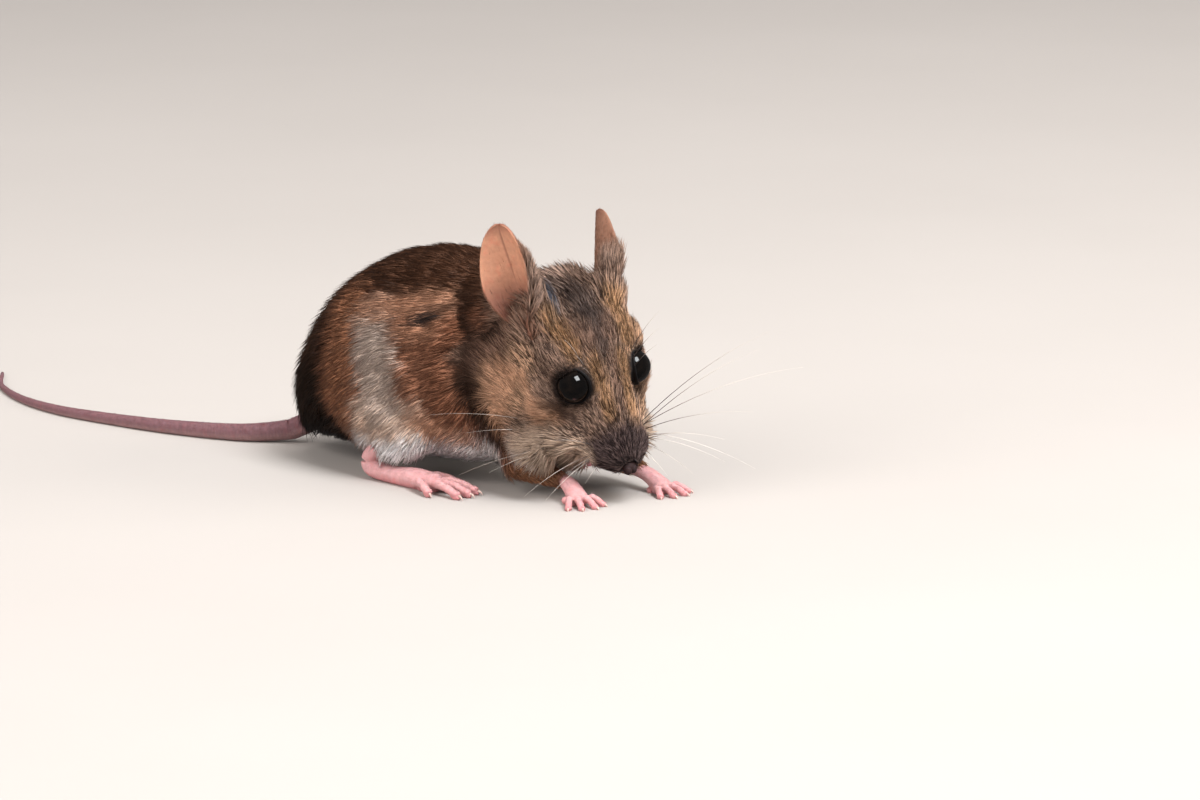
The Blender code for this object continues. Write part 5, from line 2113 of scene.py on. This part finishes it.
LAMPS = (
    Lamp("window", VIEW_RIGHT * 0.354 + VIEW_UP * 0.743 + VIEW_BACK * 0.566, (0.44, 0.54), 15,
         (0.95, 0.98, 1.0), mirrored=True),
    Lamp("fill", VIEW_RIGHT * -0.9 + VIEW_UP * 0.5 + VIEW_BACK * 0.8, (0.9, 0.9), 15, (1.0, 0.97, 0.94)),
    Lamp("rim", VIEW_RIGHT * 0.9 + VIEW_UP * 0.3 + VIEW_BACK * 0.1, (0.5, 0.7), 7, (1.0, 0.96, 0.9)),
    Lamp("sky", Vector((0.05, 0.1, 1.2)), (1.0, 1.0), 6.5, (1.0, 0.98, 0.95)),
)


@dataclass
class Studio:
    """Floor, lights and camera."""

    aim: Vector = field(default_factory=lambda: BODY.matrix @ (
        Vector((0, -HEEL_Y, 0)) + VIEW_RIGHT * AIM_RIGHT + VIEW_UP * AIM_UP))
    distance: float = 1000.0
    lens: float = 187.5
    sensor: float = 36.0
    nearest: float = 0.01  # metres
    farthest: float = 20.0
    floor_half: float = 1.6

    def put(self, made: Object, at: Vector, back: Vector) -> None:
        """Links a camera or a lamp, set in metres and looking against a direction."""
        bpy.context.scene.collection.objects.link(made)
        made.location = at
        made.rotation_mode = "QUATERNION"
        made.rotation_quaternion = back.to_track_quat("Z", "Y")

    def camera(self) -> None:
        """A long lens from in front and to the right, a little above the floor."""
        made = bpy.data.objects.new("camera", bpy.data.cameras.new("camera"))
        made.data.sensor_width, made.data.lens = self.sensor, self.lens
        made.data.clip_start, made.data.clip_end = self.nearest, self.farthest
        self.put(made, (self.aim + VIEW_BACK * self.distance) * MM, VIEW_BACK)
        bpy.context.scene.camera = made

    def lamps(self) -> None:
        """The lamps round the animal."""
        for lamp in LAMPS:
            light = bpy.data.lights.new(lamp.name, "AREA")
            light.shape = "RECTANGLE"
            light.size, light.size_y = lamp.size
            light.energy, light.color = lamp.power, lamp.colour
            made = bpy.data.objects.new(lamp.name, light)
            made.visible_glossy = lamp.mirrored
            at = middle("eye_right") * MM + lamp.offset
            self.put(made, at, at - self.aim * MM)

    def world(self) -> None:
        """Even light from all round, weaker where the gloss mirrors it, so that the eyes stay black."""
        world = bpy.data.worlds.new("world")
        world.use_nodes = True
        bpy.context.scene.world = world
        background = world.node_tree.nodes["Background"]
        background.inputs["Color"].default_value = WORLD_COLOUR
        g = Graph(world.node_tree)
        mirrored = g.add("ShaderNodeLightPath").outputs["Is Glossy Ray"]
        g.feed(background.inputs["Strength"], g.math("MULTIPLY_ADD", mirrored, -WORLD_DIMMED, WORLD_STRENGTH))

    def build(self, finish: Material) -> None:
        """Puts up the studio.

        Args:
            finish: the floor's material.
        """
        bm = bmesh.new()
        bmesh.ops.create_grid(bm, x_segments=1, y_segments=1, size=self.floor_half)
        floor = from_bmesh("stage_floor", bm)
        floor.data.materials.append(finish)
        floor.visible_glossy = False  # a black flag, so that the wet eyes stay dark
        self.camera()
        self.lamps()
        self.world()
        bpy.context.scene.view_settings.view_transform = "Standard"


# ---- All together ----
def main() -> None:
    """Builds the animal and its studio."""
    logging.basicConfig(level=logging.INFO, format="%(asctime)s %(name)s %(message)s")
    finishes = Finishes()
    ears = [Ear(RIGHT), Ear(LEFT)]
    feet = [hind_foot(RIGHT), hind_foot(LEFT), fore_paw(RIGHT), fore_paw(LEFT)]
    tail, nose = Tail(), Nose()
    eyes = [EyeSet(RIGHT), EyeSet(LEFT)]
    plan = Skin()
    skin = plan.build(ears, feet, tail, eyes, nose)
    LOG.info("skin built")
    plan.unwrap(skin)
    LOG.info("skin unwrapped")
    areas = Dress(skin, plan, ears, feet, tail).put_on()
    LOG.info("skin dressed: %s", {region.name: round(area) for region, area in areas.items()})
    tree, hair = coat_group(), finishes.coat()
    for piece in COAT:
        settle(grown(tree, skin, piece, areas[piece.region], hair))
    skin.data.materials.append(finishes.hide())
    settle(skin, [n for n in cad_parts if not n.startswith("eye_")])
    gloss = finishes.eye()
    for eye in eyes:
        eyeball = eye.eye()
        eyeball.data.materials.append(gloss)
        settle(eyeball, ["eye_" + SIDES[eye.side]])
    horn = finishes.horn()
    for foot in feet:
        claws = joined("claws_" + foot.name, foot.claws())
        claws.data.materials.append(horn)
        settle(claws)
    bristle = finishes.whisker()
    for side in SIDES:
        settle(Whiskers(side).build(bristle))
    Studio().build(finishes.stage())


if __name__ == "__main__":
    main()
